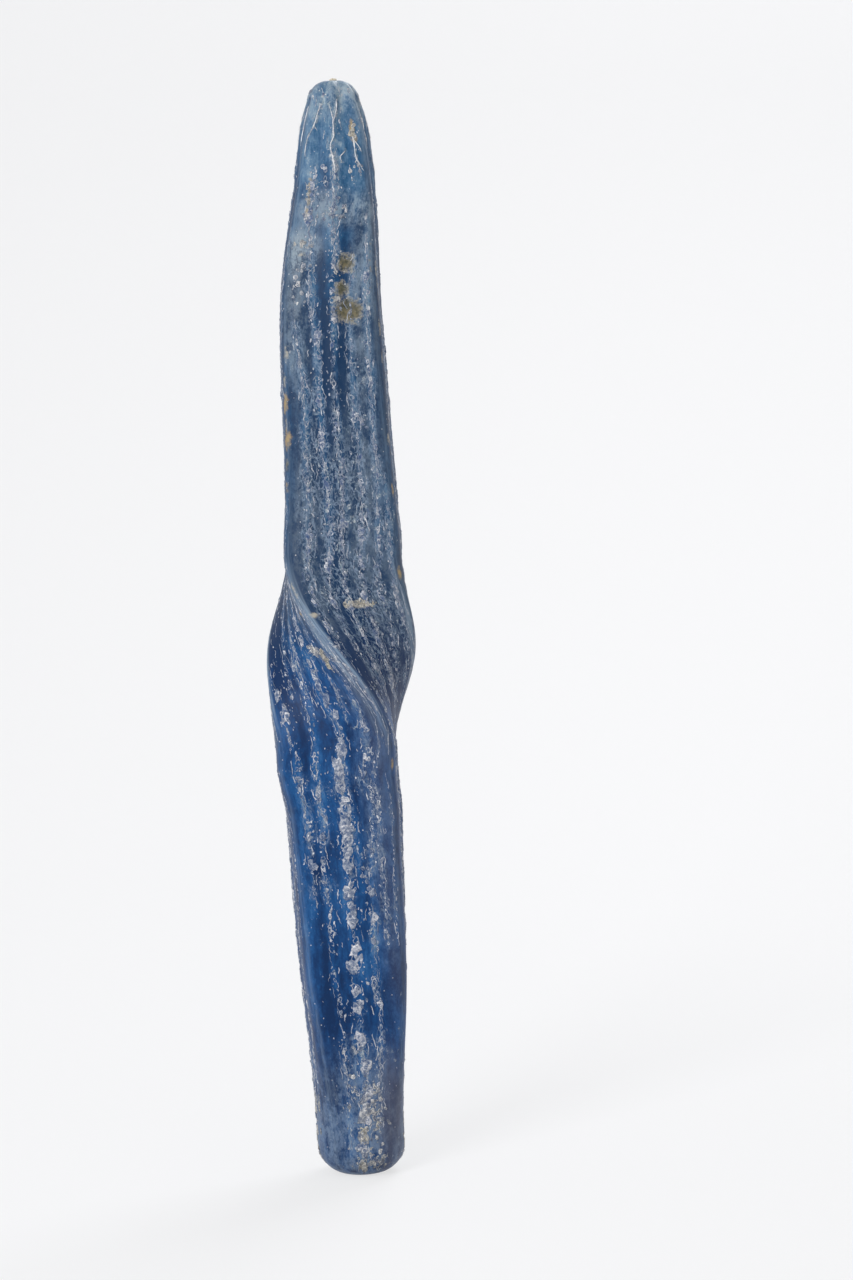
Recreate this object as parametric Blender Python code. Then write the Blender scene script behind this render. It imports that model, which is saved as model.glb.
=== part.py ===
# Twisted taper candle, in metres, standing on its foot with +Z up the candle.
# The origin is the middle of the flat under the foot. The front of the candle faces -Y.
# A rounded square bar of wax is turned a quarter turn at its waist, tapers to a blunt tip,
# and grows round towards the foot, which is the size of a common candle socket.

import math

import bmesh
import bpy
from mathutils import Vector

# Driving dimensions
candle_length = 0.2793        # wax, from the flat of the foot to the flat of the tip
foot_width = 0.0220           # across the round foot
foot_edge_radius = 0.0070     # rounding between the foot's side and its flat
ankle_height = 0.0150         # where the foot starts to swell
ankle_width = 0.0221
calf_width = 0.0268           # half way from the ankle to the thigh
thigh_drop = 0.0421           # measured down from the middle of the twist
thigh_width = 0.0290
hip_drop = 0.0291             # the bulge below the twist
hip_width = 0.0310
twist_height = 0.1355         # middle of the quarter turn
twist_width = 0.0290          # across the flats there
twist_length = 0.0520         # the stretch that turns
chest_rise = 0.0235           # the bulge above the twist
chest_width = 0.0302
breast_drop = 0.1050          # this and what follows are measured down from the tip
breast_width = 0.0284
neck_drop = 0.0570
neck_width = 0.0252
shoulder_drop = 0.0190
shoulder_width = 0.0180
crown_drop = 0.0077
crown_width = 0.0138
tip_edge_radius = 0.0023      # rounding between the side and the flat of the tip
tip_land = 0.0005             # flat ring of wax round the wick at the tip

coat_thickness = 0.0010       # the dyed dip over the undyed core
wick_diameter = 0.0022
wick_proud = 0.0007           # cut end of the wick above the tip
wick_foot_gap = 0.0080        # solid wax below the wick's lower end
fit_gap = 0.0003              # between pieces that lie on each other

# How the section turns, in degrees, from the tip down
quarter_turn = 90.0
slow_turn = 12.0              # a little more of the same turn, spread over the lower part

# How square the section is: 2 is a circle, and more is squarer
foot_squareness = 2.0
body_squareness = 5.2
tip_squareness = 2.8
foot_blend = 0.0550           # height over which the round foot grows square
tip_blend = 0.0700            # length over which the square body grows round at the tip

# Long low ridges: one on each corner and one along the middle of each face
rib_count = 8
body_rib = 0.00022
tip_rib = 0.00050
waist_hollow = 0.0009         # how far the faces sink in where they turn
waist_pinch = 0.0004          # how far the corners stand out there
pinch_power = 8               # more draws the corners narrower

# Sideways sway of the middle line, as hand shaping leaves it
shoulder_sway = 0.0
neck_sway = -0.0020
chest_sway = -0.0006
twist_sway = -0.0018
hip_sway = -0.0038
thigh_sway = -0.0022
calf_sway = -0.0012

# How finely the skins are drawn
sides = 32
wick_sides = 12
long_step = 0.0110            # between rings along the straight parts
turn_step = 0.0028            # between rings where the section turns
bore_step = 0.0132            # between rings of the wick and of its bore
edge_steps = 3                # rings round an edge
sharp_angle = 45              # degrees, edges folded more than this are drawn sharp
same_point = 1e-6

blue_wax = (0.062, 0.150, 0.330, 1.0)
cream_wax = (0.720, 0.620, 0.420, 1.0)
cotton = (0.780, 0.740, 0.660, 1.0)

wick_radius = wick_diameter / 2
hole_radius = wick_radius + fit_gap
tip_flat_radius = hole_radius + tip_land
turn_top = twist_height + twist_length / 2
turn_bottom = twist_height - twist_length / 2
hip_height = twist_height - hip_drop
thigh_height = twist_height - thigh_drop
calf_height = (ankle_height + thigh_height) / 2
chest_height = twist_height + chest_rise
breast_height = candle_length - breast_drop
neck_height = candle_length - neck_drop
shoulder_height = candle_length - shoulder_drop
crown_height = candle_length - crown_drop

# Half widths across the flats, from the foot up
half_widths = [
    (0.0, foot_width / 2),
    (ankle_height, ankle_width / 2),
    (calf_height, calf_width / 2),
    (thigh_height, thigh_width / 2),
    (hip_height, hip_width / 2),
    (twist_height, twist_width / 2),
    (chest_height, chest_width / 2),
    (breast_height, breast_width / 2),
    (neck_height, neck_width / 2),
    (shoulder_height, shoulder_width / 2),
    (crown_height, crown_width / 2),
    (candle_length, tip_flat_radius + tip_edge_radius),
]

sways = [
    (0.0, 0.0),
    (calf_height, calf_sway),
    (thigh_height, thigh_sway),
    (hip_height, hip_sway),
    (twist_height, twist_sway),
    (chest_height, chest_sway),
    (neck_height, neck_sway),
    (shoulder_height, shoulder_sway),
    (candle_length, 0.0),
]


def clamp(value):
    return min(max(value, 0.0), 1.0)


def ease(share):
    """0 to 1 with a level start and end."""
    share = clamp(share)
    return share * share * (3 - 2 * share)


def slopes(points):
    """Slopes at the points that keep a curve through them free of bulges."""
    steps = [(b[1] - a[1]) / (b[0] - a[0]) for a, b in zip(points, points[1:])]
    inner = []
    for before, after in zip(steps, steps[1:]):
        same_way = before * after > 0
        inner.append(2 * before * after / (before + after) if same_way else 0.0)
    return [steps[0]] + inner + [steps[-1]]


def through(points, z):
    """The height's value on a smooth curve through the points."""
    tangents = slopes(points)
    z = min(max(z, points[0][0]), points[-1][0])
    i = next(i for i in range(len(points) - 1) if z <= points[i + 1][0])
    (start, low), (end, high) = points[i], points[i + 1]
    left, right = tangents[i], tangents[i + 1]
    span = end - start
    u = (z - start) / span
    bend = (1 + 2 * u) * (1 - u) ** 2 * low + u * u * (3 - 2 * u) * high
    return bend + span * (u * (1 - u) ** 2 * left - u * u * (1 - u) * right)


def centre(z):
    """Middle of the section at a height."""
    return Vector((through(sways, z), 0.0, z))


def turn(z):
    """Angle of the section, in radians: none at the tip, and growing downwards."""
    quick = quarter_turn * ease((turn_top - z) / twist_length)
    slow = slow_turn * ease((turn_bottom - z) / turn_bottom)
    return math.radians(quick + slow)


def squareness(z):
    foot = ease(z / foot_blend)
    tip = ease((candle_length - z) / tip_blend)
    square = foot_squareness + (body_squareness - foot_squareness) * foot
    return tip_squareness + (square - tip_squareness) * tip


def edge_cut(distance, radius):
    """How much a rounded edge takes off at a distance in from the end."""
    if distance >= radius:
        return 0.0
    return radius - math.sqrt(max(radius ** 2 - (radius - distance) ** 2, 0.0))


def half_width(z, inset):
    """Half width of a skin that lies a given depth inside the wax."""
    foot_cut = edge_cut(z - inset, max(foot_edge_radius - inset, 0.0))
    tip_cut = edge_cut(candle_length - inset - z, max(tip_edge_radius - inset, 0.0))
    return through(half_widths, z) - inset - foot_cut - tip_cut


def skin_ring(z, inset, side):
    """A point of the ring that a skin leaves in the level at height z."""
    angle = 2 * math.pi * side / sides
    power = squareness(z)
    spread = abs(math.cos(angle)) ** power + abs(math.sin(angle)) ** power
    near_foot = ease(z / foot_blend)
    near_tip = 1 - ease((candle_length - z) / tip_blend)
    rib = (body_rib + (tip_rib - body_rib) * near_tip) * near_foot
    near_twist = 1 - ease(abs(z - twist_height) / twist_length)
    hollow = waist_hollow * near_twist * math.cos(2 * angle) ** 2
    pinch = waist_pinch * near_twist * math.sin(2 * angle) ** pinch_power
    whole = through(half_widths, z)
    swell = 1 + (rib * math.cos(rib_count * angle) - hollow + pinch) / whole
    radius = half_width(z, inset) * spread ** (-1 / power) * swell
    heading = angle + turn(z)
    return centre(z) + Vector((radius * math.cos(heading), radius * math.sin(heading), 0))


def round_ring(z, radius, side, count):
    angle = 2 * math.pi * side / count
    return centre(z) + Vector((radius * math.cos(angle), radius * math.sin(angle), 0))


def spaced(low, high, step):
    """Heights from low to high, high left out, no further apart than the step."""
    count = max(math.ceil((high - low) / step), 1)
    return [low + (high - low) * i / count for i in range(count)]


def skin_heights(inset):
    """Heights of a skin's rings, from its foot flat to its tip flat."""
    low = inset
    high = candle_length - inset
    foot_radius = max(foot_edge_radius - inset, 0.0)
    tip_radius = max(tip_edge_radius - inset, 0.0)
    quarter = [math.pi / 2 * i / edge_steps for i in range(edge_steps)]
    foot = [low + foot_radius * (1 - math.cos(a)) for a in quarter]
    tip = [high - tip_radius * (1 - math.cos(a)) for a in reversed(quarter)]
    lower = spaced(low + foot_radius, turn_bottom, long_step)
    waist = spaced(turn_bottom, turn_top, turn_step)
    upper = spaced(turn_top, high - tip_radius, long_step)
    return foot + lower + waist + upper + [high - tip_radius] + tip


def bore_heights(low, high):
    """Heights of the rings of the wick and of its bore, from low to high."""
    return spaced(low, high, bore_step) + [high]


def skin(inset):
    """Rings up one skin, from its foot flat to its tip flat."""
    return [lambda side, z=z: skin_ring(z, inset, side) for z in skin_heights(inset)]


def pole(z):
    return [lambda side: centre(z)]


def bore(low, high, radius, count):
    heights = bore_heights(low, high)
    return [lambda side, z=z: round_ring(z, radius, side, count) for z in heights]


def plain_material(name, colour, roughness):
    material = bpy.data.materials.new(name)
    material.use_nodes = True
    shader = material.node_tree.nodes["Principled BSDF"]
    shader.inputs["Base Color"].default_value = colour
    shader.inputs["Roughness"].default_value = roughness
    shader.inputs["Metallic"].default_value = 0.0
    material.diffuse_color = colour
    return material


def wrap(name, rings, count, material):
    """A closed piece: a grid rolled into a tube through the rings, shut at both poles."""
    bm = bmesh.new()
    rows = len(rings) - 1
    bmesh.ops.create_grid(bm, x_segments=count, y_segments=rows, size=0.5)
    for vert in bm.verts:
        side = round((vert.co.x + 0.5) * count)
        row = round((vert.co.y + 0.5) * rows)
        vert.co = rings[row](side % count)
    bmesh.ops.remove_doubles(bm, verts=bm.verts, dist=same_point)
    bmesh.ops.recalc_face_normals(bm, faces=bm.faces)
    mesh = bpy.data.meshes.new(name)
    bm.to_mesh(mesh)
    bm.free()
    mesh.shade_smooth()
    mesh.set_sharp_from_angle(angle=math.radians(sharp_angle))
    mesh.materials.append(material)
    piece = bpy.data.objects.new(name, mesh)
    bpy.context.scene.collection.objects.link(piece)
    return piece


def make_blue_coat():
    """The dyed dip: a thin closed cup, with a hole for the wick at the tip."""
    outside = pole(0.0) + skin(0.0)
    hole = bore(candle_length - coat_thickness, candle_length, hole_radius, sides)
    inside = skin(coat_thickness)[::-1] + pole(coat_thickness)
    material = plain_material("blue_wax", blue_wax, 0.45)
    return wrap("blue_coat", outside + hole[::-1] + inside, sides, material)


def make_wax_core():
    """The undyed body of the candle, with a blind bore for the wick."""
    inset = coat_thickness + fit_gap
    outside = pole(inset) + skin(inset)
    bottom = wick_foot_gap - fit_gap
    channel = bore(bottom, candle_length - inset, hole_radius, sides)
    material = plain_material("cream_wax", cream_wax, 0.50)
    return wrap("wax_core", outside + channel[::-1] + pole(bottom), sides, material)


def make_wick():
    """The cotton wick, from solid wax above the foot to its cut end at the tip."""
    top = candle_length + wick_proud
    stem = bore(wick_foot_gap, top, wick_radius, wick_sides)
    material = plain_material("cotton", cotton, 0.90)
    return wrap("wick", pole(wick_foot_gap) + stem + pole(top), wick_sides, material)


for old in list(bpy.data.objects):
    bpy.data.objects.remove(old, do_unlink=True)

make_wick()
make_wax_core()
make_blue_coat()
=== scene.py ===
import bisect
import math
import random

import bmesh
import bpy
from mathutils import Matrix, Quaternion, Vector, noise


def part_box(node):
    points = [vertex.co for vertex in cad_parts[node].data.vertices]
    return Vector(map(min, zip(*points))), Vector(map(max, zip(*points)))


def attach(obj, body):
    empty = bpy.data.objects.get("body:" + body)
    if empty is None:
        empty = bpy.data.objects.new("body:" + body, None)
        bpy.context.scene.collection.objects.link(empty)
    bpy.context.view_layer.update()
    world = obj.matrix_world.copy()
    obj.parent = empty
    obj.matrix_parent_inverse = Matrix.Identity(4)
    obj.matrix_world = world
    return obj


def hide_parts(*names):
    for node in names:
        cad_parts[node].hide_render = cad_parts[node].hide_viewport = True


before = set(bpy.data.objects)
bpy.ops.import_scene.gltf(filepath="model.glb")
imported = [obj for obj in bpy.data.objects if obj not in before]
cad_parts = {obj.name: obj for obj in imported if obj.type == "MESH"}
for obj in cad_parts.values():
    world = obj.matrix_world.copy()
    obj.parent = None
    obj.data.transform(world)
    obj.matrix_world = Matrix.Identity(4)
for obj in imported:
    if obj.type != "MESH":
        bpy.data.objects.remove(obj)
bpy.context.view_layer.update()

# Twisted taper candle, in metres, standing on its foot with its front towards -Y.
# A section of it is described in its own unturned frame. It has four faces, numbered by their
# angle in quarter turns: face 3 is the front above the waist, and the quarter turn at the waist
# brings face 2 to the front below it. Features lie on a face at a height over the foot and at
# an offset across the face, and so they follow the twist by themselves.

mm = 0.001
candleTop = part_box("blue_coat")[1][2]
wickLow, wickHigh = (corner[2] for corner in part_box("wick"))

candleForm = {
    # height over the foot's flat, half width across the flats, sway of the middle line, in mm
    "stations": [
        (0.0, 11.0, 0.0),
        (15.0, 11.05, -0.33),
        (54.2, 13.4, -1.2),
        (93.4, 14.5, -2.2),
        (106.4, 15.5, -3.8),
        (135.5, 14.5, -1.8),
        (159.0, 15.1, -0.6),
        (174.3, 14.2, -0.8),
        (222.3, 12.6, -2.0),
        (260.3, 9.0, 0.0),
        (271.6, 6.9, 0.0),
        (279.3, 4.2, 0.0),
    ],
    "footEdge": 7.0 * mm,
    "tipEdge": 2.3 * mm,
    "turnMiddle": 135.5 * mm,
    "turnLength": 52.0 * mm,
    "quarterTurn": 90.0,
    "slowTurn": 12.0,
    "footSquare": 2.0,
    "bodySquare": 5.2,
    "tipSquare": 2.8,
    "footBlend": 55.0 * mm,
    "tipBlend": 70.0 * mm,
    "waistHollow": 0.9 * mm,
    "waistPinch": 0.4 * mm,
    "ribCount": 8,
    "bodyRib": 0.22 * mm,
    "tipRib": 0.50 * mm,
    "coat": 1.0 * mm,
}

turnTop = candleForm["turnMiddle"] + candleForm["turnLength"] / 2
turnBottom = candleForm["turnMiddle"] - candleForm["turnLength"] / 2


def ease(share):
    share = min(max(share, 0.0), 1.0)
    return share * share * (3 - 2 * share)


def bell(distance, width, power=2):
    return math.exp(-(distance / width) ** power)


def graded(pair, share):
    # a value and what a full share adds to it
    return pair[0] + pair[1] * share


def noiseAt(x, y, z):
    return noise.noise(Vector((x, y, z)))


def curveThrough(points):
    # a smooth function through (place, value) points, without overshoot
    steps = [(b[1] - a[1]) / (b[0] - a[0]) for a, b in zip(points, points[1:])]
    inner = [2 * a * b / (a + b) if a * b > 0 else 0.0 for a, b in zip(steps, steps[1:])]
    tangents = [steps[0]] + inner + [steps[-1]]

    def valueAt(place):
        place = min(max(place, points[0][0]), points[-1][0])
        i = next(i for i in range(len(steps)) if place <= points[i + 1][0])
        (start, low), (end, high) = points[i], points[i + 1]
        span = end - start
        u = (place - start) / span
        bend = (1 + 2 * u) * (1 - u) ** 2 * low + u * u * (3 - 2 * u) * high
        return bend + span * (u * (1 - u) ** 2 * tangents[i] - u * u * (1 - u) * tangents[i + 1])

    return valueAt


widthAt = curveThrough([(z * mm, half * mm) for z, half, sway in candleForm["stations"]])
swayAt = curveThrough([(z * mm, sway * mm) for z, half, sway in candleForm["stations"]])


def turnAt(z):
    quick = candleForm["quarterTurn"] * ease((turnTop - z) / candleForm["turnLength"])
    slow = candleForm["slowTurn"] * ease((turnBottom - z) / turnBottom)
    return math.radians(quick + slow)


def squareAt(z):
    foot = ease(z / candleForm["footBlend"])
    tip = ease((candleTop - z) / candleForm["tipBlend"])
    square = candleForm["footSquare"] + (candleForm["bodySquare"] - candleForm["footSquare"]) * foot
    return candleForm["tipSquare"] + (square - candleForm["tipSquare"]) * tip


def edgeCut(distance, radius):
    if distance >= radius:
        return 0.0
    return radius - math.sqrt(max(radius ** 2 - (radius - distance) ** 2, 0.0))


def halfAt(z, inset):
    footCut = edgeCut(z - inset, candleForm["footEdge"] - inset)
    tipCut = edgeCut(candleTop - inset - z, candleForm["tipEdge"] - inset)
    return widthAt(z) - inset - footCut - tipCut


def rolledGrid(bm, columns, rows, pointAt):
    # a grid rolled into a tube: pointAt(row, column) gives a place and a dictionary of attributes
    made = bmesh.ops.create_grid(bm, x_segments=columns, y_segments=rows - 1, size=0.5)
    placed = {}
    for vert in made["verts"]:
        column = round((vert.co.x + 0.5) * columns) % columns
        row = round((vert.co.y + 0.5) * (rows - 1))
        if (row, column) not in placed:
            placed[row, column] = pointAt(row, column)
        vert.co, marks = placed[row, column]
        for layer, value in marks.items():
            vert[layer] = value


def weld(bm):
    bmesh.ops.remove_doubles(bm, verts=bm.verts, dist=0.001 * mm)
    bmesh.ops.recalc_face_normals(bm, faces=bm.faces)


def meshFrom(bm, name):
    mesh = bpy.data.meshes.new(name)
    bm.to_mesh(mesh)
    bm.free()
    return mesh


def linkPiece(name, bm, material, body="root"):
    weld(bm)
    mesh = meshFrom(bm, name)
    mesh.shade_smooth()
    mesh.materials.append(material)
    piece = bpy.data.objects.new(name, mesh)
    bpy.context.scene.collection.objects.link(piece)
    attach(piece, body)
    print("made", name, "with", sum(len(face.vertices) - 2 for face in mesh.polygons), "triangles")
    return piece


# Materials

class NodeBench:
    # short ways to lay out the nodes of one material

    def __init__(self, tree):
        self.tree = tree

    def add(self, kind, **settings):
        node = self.tree.nodes.new(kind)
        for name, value in settings.items():
            setattr(node, name, value)
        return node

    def plug(self, socket, value):
        if isinstance(value, bpy.types.NodeSocket):
            self.tree.links.new(value, socket)
        elif isinstance(value, tuple) and len(value) == 3 and socket.type == "RGBA":
            socket.default_value = (*value, 1.0)
        else:
            socket.default_value = value

    def attribute(self, name):
        return self.add("ShaderNodeAttribute", attribute_name=name)

    def math(self, operation, a, b=0.5, clamp=False):
        node = self.add("ShaderNodeMath", operation=operation, use_clamp=clamp)
        self.plug(node.inputs[0], a)
        self.plug(node.inputs[1], b)
        return node.outputs[0]

    def times(self, a, b, clamp=False):
        return self.math("MULTIPLY", a, b, clamp)

    def total(self, *terms):
        # sum of (value, factor) pairs
        parts = [self.times(value, factor) for value, factor in terms]
        result = parts[0]
        for part in parts[1:]:
            result = self.math("ADD", result, part)
        return result

    def stretched(self, vector, squeeze):
        # draws a pattern out lengthwise: a squeeze of 0.1 makes it ten times as long
        node = self.add("ShaderNodeMapping")
        node.inputs["Scale"].default_value = (1, 1, squeeze)
        self.plug(node.inputs["Vector"], vector)
        return node.outputs[0]

    def noise(self, vector, scale, detail, roughness=0.55, distortion=0.0):
        node = self.add("ShaderNodeTexNoise")
        node.inputs["Scale"].default_value = scale
        node.inputs["Detail"].default_value = detail
        node.inputs["Roughness"].default_value = roughness
        node.inputs["Distortion"].default_value = distortion
        self.plug(node.inputs["Vector"], vector)
        return node.outputs["Fac"]

    def span(self, value, low, high, toLow=0.0, toHigh=1.0):
        node = self.add("ShaderNodeMapRange", interpolation_type="SMOOTHSTEP")
        limits = {"From Min": low, "From Max": high, "To Min": toLow, "To Max": toHigh}
        for name, number in limits.items():
            self.plug(node.inputs[name], number)
        self.plug(node.inputs["Value"], value)
        return node.outputs["Result"]

    def drawnOut(self, vector, squeeze, *settings):
        return self.noise(self.stretched(vector, squeeze), *settings)

    def worms(self, vector, scale, halfWidth):
        # thin wandering lines: where a noise passes through its middle value
        field = self.noise(vector, scale, 2, 0.5, 0.35)
        away = self.math("ABSOLUTE", self.math("SUBTRACT", field, 0.5))
        return self.span(away, halfWidth, halfWidth * 0.25)

    def cover(self, share, below, above):
        # the share of a second colour over a first one
        node = self.add("ShaderNodeMix", data_type="RGBA")
        self.plug(node.inputs[0], share)
        self.plug(node.inputs[6], below)
        self.plug(node.inputs[7], above)
        return node.outputs[2]

    def ramp(self, value, stops):
        node = self.add("ShaderNodeValToRGB")
        elements = node.color_ramp.elements
        while len(elements) < len(stops):
            elements.new(0.5)
        for element, (place, colour) in zip(elements, stops):
            element.position = place
            element.color = (*colour, 1.0)
        self.plug(node.inputs["Fac"], value)
        return node.outputs["Color"]

    def bump(self, height, strength, distance):
        node = self.add("ShaderNodeBump")
        node.inputs["Strength"].default_value = strength
        node.inputs["Distance"].default_value = distance
        self.plug(node.inputs["Height"], height)
        return node.outputs["Normal"]


def newMaterial(name):
    material = bpy.data.materials.new(name)
    material.use_nodes = True
    tree = material.node_tree
    return material, NodeBench(tree), tree.nodes["Principled BSDF"]


def fromScreen(red, green, blue):
    # a colour as a screen shows it, 0 to 255, turned into the linear values that a shader takes
    shares = [channel / 255 for channel in (red, green, blue)]
    return tuple(((share + 0.055) / 1.055) ** 2.4 if share > 0.04 else share / 12.92 for share in shares)


def screenStops(stops):
    return [(place, fromScreen(*colour)) for place, colour in stops]


def setGlow(shader, weight, radius, scale):
    # how the wax lets light in under its surface
    shader.inputs["Subsurface Weight"].default_value = weight
    shader.inputs["Subsurface Radius"].default_value = radius
    shader.inputs["Subsurface Scale"].default_value = scale


blueWaxLook = {
    # below the waist the wax is a deep, clear blue, above it greyer and paler
    "lowTones": [(0.02, (6, 42, 84)), (0.30, (14, 62, 112)), (0.55, (26, 80, 134)),
                 (0.80, (58, 106, 154)), (1.0, (114, 144, 172))],
    "highTones": [(0.02, (10, 46, 80)), (0.30, (24, 66, 104)), (0.55, (48, 90, 126)),
                  (0.80, (90, 122, 150)), (1.0, (150, 166, 178))],
    "changeOver": (128 * mm, 154 * mm),
    "frostTones": [(0.0, (66, 96, 128)), (0.45, (110, 130, 148)), (0.75, (154, 164, 172)),
                   (1.0, (208, 212, 214))],
    "colours": {
        "haze": (154, 168, 177),
        # painted highlight along the corners
        "ridge": (152, 172, 190),
        "lace": (128, 146, 166),
        "speck": (214, 216, 218),
        "slate": (82, 85, 104),
        "ochre": (182, 156, 108),
        "cream": (190, 182, 164),
        "olive": (62, 62, 42),
        "oliveLight": (108, 98, 66),
    },
    # lengthwise squeeze, scale, detail, roughness, distortion
    "patterns": {
        "streaks": (0.12, 310, 4, 0.60, 0.3),
        "clouds": (0.60, 150, 5, 0.62, 0.0),
        "threads": (0.16, 1300, 3, 0.60, 0.0),
        "dapple": (0.60, 620, 4, 0.62, 0.4),
        "grit": (0.60, 2600, 3, 0.60, 0.0),
        "combed": (0.05, 1500, 3, 0.60, 0.0),
        "clusters": (0.55, 240, 3, 0.60, 0.0),
        "grains": (1.0, 1500, 4, 0.65, 0.0),
        "pits": (0.55, 1100, 2, 0.50, 0.0),
        "mottle": (1.0, 760, 4, 0.65, 0.0),
        "broken": (1.0, 800, 4, 0.65, 0.0),
    },
    "toneShares": {"streaks": 0.9, "clouds": 0.9, "threads": 0.50, "dapple": 0.75, "grit": 0.45},
    "toneLevel": 1.33,
    "mistShares": {"clouds": 0.35, "dapple": 0.40, "grit": 0.25},
    "laceSqueeze": 0.55,
    "coarseLines": (430, 0.040),     # scale, half width
    "fineLines": (1000, 0.060),
    "fineLineShare": 0.85,
    "clusterShare": 1.6,
    "frostShares": {"grains": 0.80, "dapple": 0.80},
    "frostLines": 0.20,
    "frostLevel": 0.80,
    "pitDepth": 0.8,
    "mottleShares": {"mottle": 1.4, "grains": 1.0},
    "brokenShare": 0.9,
    # where a layer sets in and where it is full, with its least and most where they aren't 0 and 1
    "spans": {
        "haze": (0.42, 0.58, 0.12, 1.0),
        "ridge": (0.36, 0.60, 0.30, 1.0),
        "lace": (0.95, 1.45),
        "laceGrain": (0.34, 0.56, 0.30, 1.0),
        "frost": (0.46, 0.66),
        "pits": (0.60, 0.68),
        "mottle": (0.86, 1.56),
        "oliveEdge": (0.62, 0.78),
        "edgeGrain": (0.38, 0.58),
        "moss": (0.40, 0.62),
        "olive": (0.66, 1.10),
        "flecks": (0.66, 1.04),
        "chosenSpecks": (0.84, 0.96),
        "speckDisc": (0.19, 0.06),
    },
    # how far a full layer hides what is below it
    "covers": {"lace": 0.80, "frost": 0.78, "slate": 0.80, "oliveEdge": 0.50, "olive": 0.84,
               "flecks": 0.80, "speck": 0.85},
    "speckScale": 780,
    "reliefShares": {"frost": 0.55, "lace": 0.35, "grains": 0.35, "dapple": 0.5, "speck": 0.5},
    "bump": (0.7, 0.28 * mm),        # strength, distance
    "roughWax": 0.42,
    "roughFrost": 0.80,
    "gloss": 0.16,
    "glow": (0.12, (0.4, 0.7, 1.3), 0.8 * mm),
}


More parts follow.
